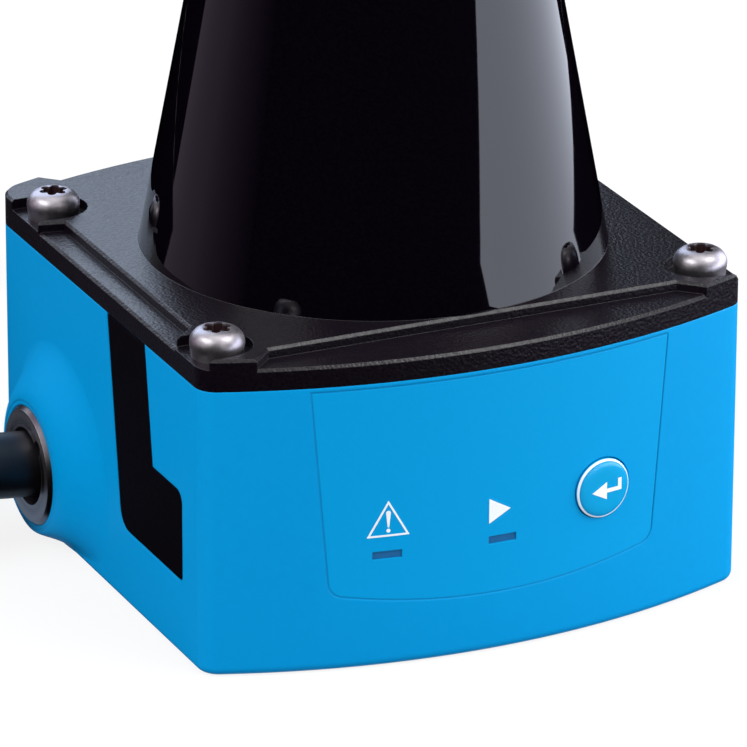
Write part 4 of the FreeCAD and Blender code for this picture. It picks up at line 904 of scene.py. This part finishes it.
@dataclass(frozen=True)
class Lamp:
    """One soft lamp that faces the sensor, at degrees from the front to its right and above the table."""

    name: str
    azimuth: float
    elevation: float
    distance_m: float
    size_m: tuple[float, float]
    watts: float
    aim_height_m: float = 0.03

    def build(self) -> None:
        """Hang the lamp."""
        data = bpy.data.lights.new(self.name, "AREA")
        data.shape = "RECTANGLE"
        data.size, data.size_y = self.size_m
        data.energy = self.watts
        lamp = add_object(self.name, data)
        out = toward(self.azimuth, self.elevation)
        lamp.matrix_world = out.to_track_quat("Z", "Y").to_matrix().to_4x4()
        lamp.location = Vector((0.0, 0.0, self.aim_height_m)) + out * self.distance_m
        lamp.visible_camera = False
        LOG.info("lamp %s: %.2f W", self.name, self.watts)


@dataclass(frozen=True)
class ReflectionCard:
    """A card round the table that only reflections see: black, grey or a glowing softbox."""

    name: str
    inner_degrees: tuple[float, float]
    inner_mm: tuple[float, float]
    outer_mm: tuple[float, float]
    glow: tuple[float, float]
    tint: str = "#ffffff"
    outer_degrees: tuple[float, float] | None = None
    rows: int = 41
    columns: int = 49

    def build(self) -> bpy.types.Object:
        """Make the card.

        Its inner and outer edges are arcs about the upright axis, each at its radius and height and
        between its two angles, which count from the front to the sensor's right and are the same unless
        the outer ones are given. Angle, radius and height run evenly from one edge to the other. The
        glow runs evenly from its first to its second value, from the first angle to the second.

        Returns:
            The card's object.
        """
        inner = np.radians(self.inner_degrees)
        outer = np.radians(self.outer_degrees or self.inner_degrees)
        turn = np.linspace(np.linspace(*inner, self.columns), np.linspace(*outer, self.columns), self.rows)
        radius = np.linspace(self.inner_mm[0], self.outer_mm[0], self.rows)[:, None]
        height = np.linspace(self.inner_mm[1], self.outer_mm[1], self.rows)[:, None]
        x, y, z = np.broadcast_arrays(radius * np.sin(turn), -radius * np.cos(turn), height)
        points = np.stack([x, y, z], axis=-1).reshape(-1, 3) * MM
        made = bpy.data.materials.new(self.name)
        card = mesh_object(self.name, points, grid_faces(self.rows, self.columns), made)
        shine = np.tile(np.linspace(*self.glow, self.columns), self.rows)
        card.data.attributes.new("glow", "FLOAT", "POINT").data.foreach_set("value", shine)
        tree = empty_tree(made)
        glow = add_node(tree, "ShaderNodeAttribute", {"attribute_name": "glow"})
        light = add_node(tree, "ShaderNodeEmission", values={"Color": linear(self.tint)},
                         links={"Strength": glow.outputs["Fac"]})
        add_node(tree, "ShaderNodeOutputMaterial", links={"Surface": light.outputs[0]})
        card.visible_camera = False
        card.visible_diffuse = False
        card.visible_transmission = False
        card.visible_shadow = False
        LOG.info("card %s: glow %.2f to %.2f", self.name, *self.glow)
        return card


@dataclass
class Studio:
    """Round white table, soft lamps, and cards that shape what the glossy hood reflects."""

    table_radius_m: float = 0.21
    table_hub_share: float = 0.01
    table_drop_m: float = 0.00002
    table_rings: int = 12
    table_points: int = 128
    room_light: float = 0.4
    room_colour: str = "#f4f6fa"
    white_share: float = 0.85
    paper_colour: str = "#f2f2f2"
    bounce_colour: str = "#a0a0a0"
    lamps: tuple[Lamp, ...] = (
        Lamp("key_front_right", 46.0, 57.0, 1.2, (0.45, 0.45), 5.0),
        Lamp("fill_left", -84.0, 38.0, 1.3, (0.8, 0.8), 13.6),
        Lamp("fill_front", 20.0, 25.0, 1.3, (0.6, 0.6), 5.6),
        Lamp("side_right", 78.0, 14.0, 0.7, (0.5, 0.4), 4.4),
        Lamp("top", 0.0, 88.0, 1.2, (0.8, 0.8), 2.0),
    )
    # Cloth lies on the table, and the other cards stand round it.
    cards: tuple[ReflectionCard, ...] = (
        ReflectionCard("cloth", (-108.0, 226.0), (25.0, 0.4), (240.0, 0.4), (0.0, 0.0)),
        ReflectionCard("paper_left", (-134.0, -108.0), (25.0, 0.4), (47.0, 0.4), (0.4, 0.4), "#c4dcf8"),
        ReflectionCard("cloth_left", (-134.0, -108.0), (47.0, 0.4), (240.0, 0.4), (0.18, 0.18), "#dcdcff"),
        ReflectionCard("card_front", (-84.0, 14.0), (240.0, 0.4), (240.0, 200.0), (0.0, 0.0),
                       outer_degrees=(-84.0, 92.0)),
        ReflectionCard("card_left_fore", (-118.0, -84.0), (240.0, 0.4), (240.0, 200.0), (0.4, 0.0),
                       "#f0d2f4"),
        ReflectionCard("card_left", (-145.0, -118.0), (240.0, 0.4), (240.0, 200.0), (0.4, 0.4), "#f0d8f6"),
        ReflectionCard("card_back", (117.0, 215.0), (240.0, 0.4), (240.0, 80.0), (0.0, 0.0)),
        ReflectionCard("card_back_right", (117.0, 152.0), (240.0, 80.0), (240.0, 350.0), (0.02, 0.05)),
        ReflectionCard("card_back_left", (152.0, 205.0), (240.0, 80.0), (240.0, 350.0), (2.6, 3.6),
                       "#d6e6ff"),
        ReflectionCard("softbox_right", (-25.0, 117.0), (240.0, -100.0), (240.0, 200.0), (5.6, 3.4),
                       "#dfe5f6", outer_degrees=(92.0, 117.0)),
    )

    def table(self) -> bpy.types.Object:
        """Lay the round pale table: white to the eye, with the sensor's soft shadow.

        Its points lie on rings about the sensor's axis, with evenly growing radii, and one face fills
        the smallest ring.

        Returns:
            The table object.
        """
        radius = np.linspace(self.table_hub_share, 1.0, self.table_rings)[:, None] * self.table_radius_m
        turn = np.linspace(0.0, 2.0 * np.pi, self.table_points, endpoint=False)
        x, y, z = np.broadcast_arrays(radius * np.cos(turn), radius * np.sin(turn), -self.table_drop_m)
        points = np.stack([x, y, z], axis=-1).reshape(-1, 3)
        faces = grid_faces(self.table_rings, self.table_points, round_columns=True)
        faces.append(list(range(self.table_points)))
        made = bpy.data.materials.new("white_table_paper")
        table = mesh_object("studio_table", points, faces, made)
        tree = empty_tree(made)
        tone = add_node(tree, "ShaderNodeMix", {"data_type": "RGBA"},
                        {COLOUR_A: linear(self.bounce_colour), COLOUR_B: linear(self.paper_colour)},
                        {FACTOR: self.seen(tree)})
        paper = add_node(tree, "ShaderNodeBsdfDiffuse", links={"Color": tone.outputs[MIXED_COLOUR]})
        white = add_node(tree, "ShaderNodeEmission", values={"Color": WHITE, "Strength": 1.0})
        share = add_node(tree, "ShaderNodeMath", {"operation": "MULTIPLY"}, {1: self.white_share},
                         {0: self.seen(tree)})
        mixed = add_node(tree, "ShaderNodeMixShader",
                         links={0: share.outputs[0], 1: paper.outputs[0], 2: white.outputs[0]})
        add_node(tree, "ShaderNodeOutputMaterial", links={"Surface": mixed.outputs[0]})
        LOG.info("table: %.2f m across", 2.0 * self.table_radius_m)
        return table

    @staticmethod
    def seen(tree: bpy.types.NodeTree) -> bpy.types.NodeSocket:
        """Tell whether a ray comes from the camera, a reflection or through glass.

        Args:
            tree: the node tree to add to.

        Returns:
            A socket that is 1 for such a ray and 0 otherwise.
        """
        path = add_node(tree, "ShaderNodeLightPath")
        shine = add_node(tree, "ShaderNodeMath", {"operation": "MAXIMUM"},
                         links={0: path.outputs["Is Glossy Ray"], 1: path.outputs["Is Transmission Ray"]})
        both = add_node(tree, "ShaderNodeMath", {"operation": "MAXIMUM"},
                        links={0: path.outputs["Is Camera Ray"], 1: shine.outputs[0]})
        return both.outputs[0]

    def room(self) -> None:
        """Light the room evenly, and show it white to the eye and in reflections."""
        world = bpy.data.worlds.new("studio_room")
        bpy.context.scene.world = world
        tree = empty_tree(world)
        dim = add_node(tree, "ShaderNodeBackground",
                       values={"Color": linear(self.room_colour), "Strength": self.room_light})
        white = add_node(tree, "ShaderNodeBackground", values={"Color": WHITE, "Strength": 1.0})
        mixed = add_node(tree, "ShaderNodeMixShader",
                         links={0: self.seen(tree), 1: dim.outputs[0], 2: white.outputs[0]})
        add_node(tree, "ShaderNodeOutputWorld", links={"Surface": mixed.outputs[0]})

    def build(self) -> None:
        """Set up the table, the room, the lamps and the cards."""
        bpy.context.scene.view_settings.view_transform = "Standard"
        self.table()
        self.room()
        for lamp in self.lamps:
            lamp.build()
        for card in self.cards:
            card.build()


def dress(frame: dict[str, Any]) -> None:
    """Give every CAD node its finish and smooth shading.
    """
    smoother = Smoother()
    for name, node in frame["nodes"].items():
        finish = NODE_FINISHES[name]
        node.data.materials.clear()
        node.data.materials.append(finish.material())
        smoother.apply(node)
        LOG.info("node %s: %s", name, finish.name)


def main() -> None:
    """Build the camera, cable, finishes, fairing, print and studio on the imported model."""
    logging.basicConfig(level=logging.INFO, format="%(message)s")
    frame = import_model()
    Camera().build()
    StoredCable().build(frame)
    dress(frame)
    BossFairing().build()
    PanelPrint().build()
    Studio().build()


if __name__ == "__main__":
    main()
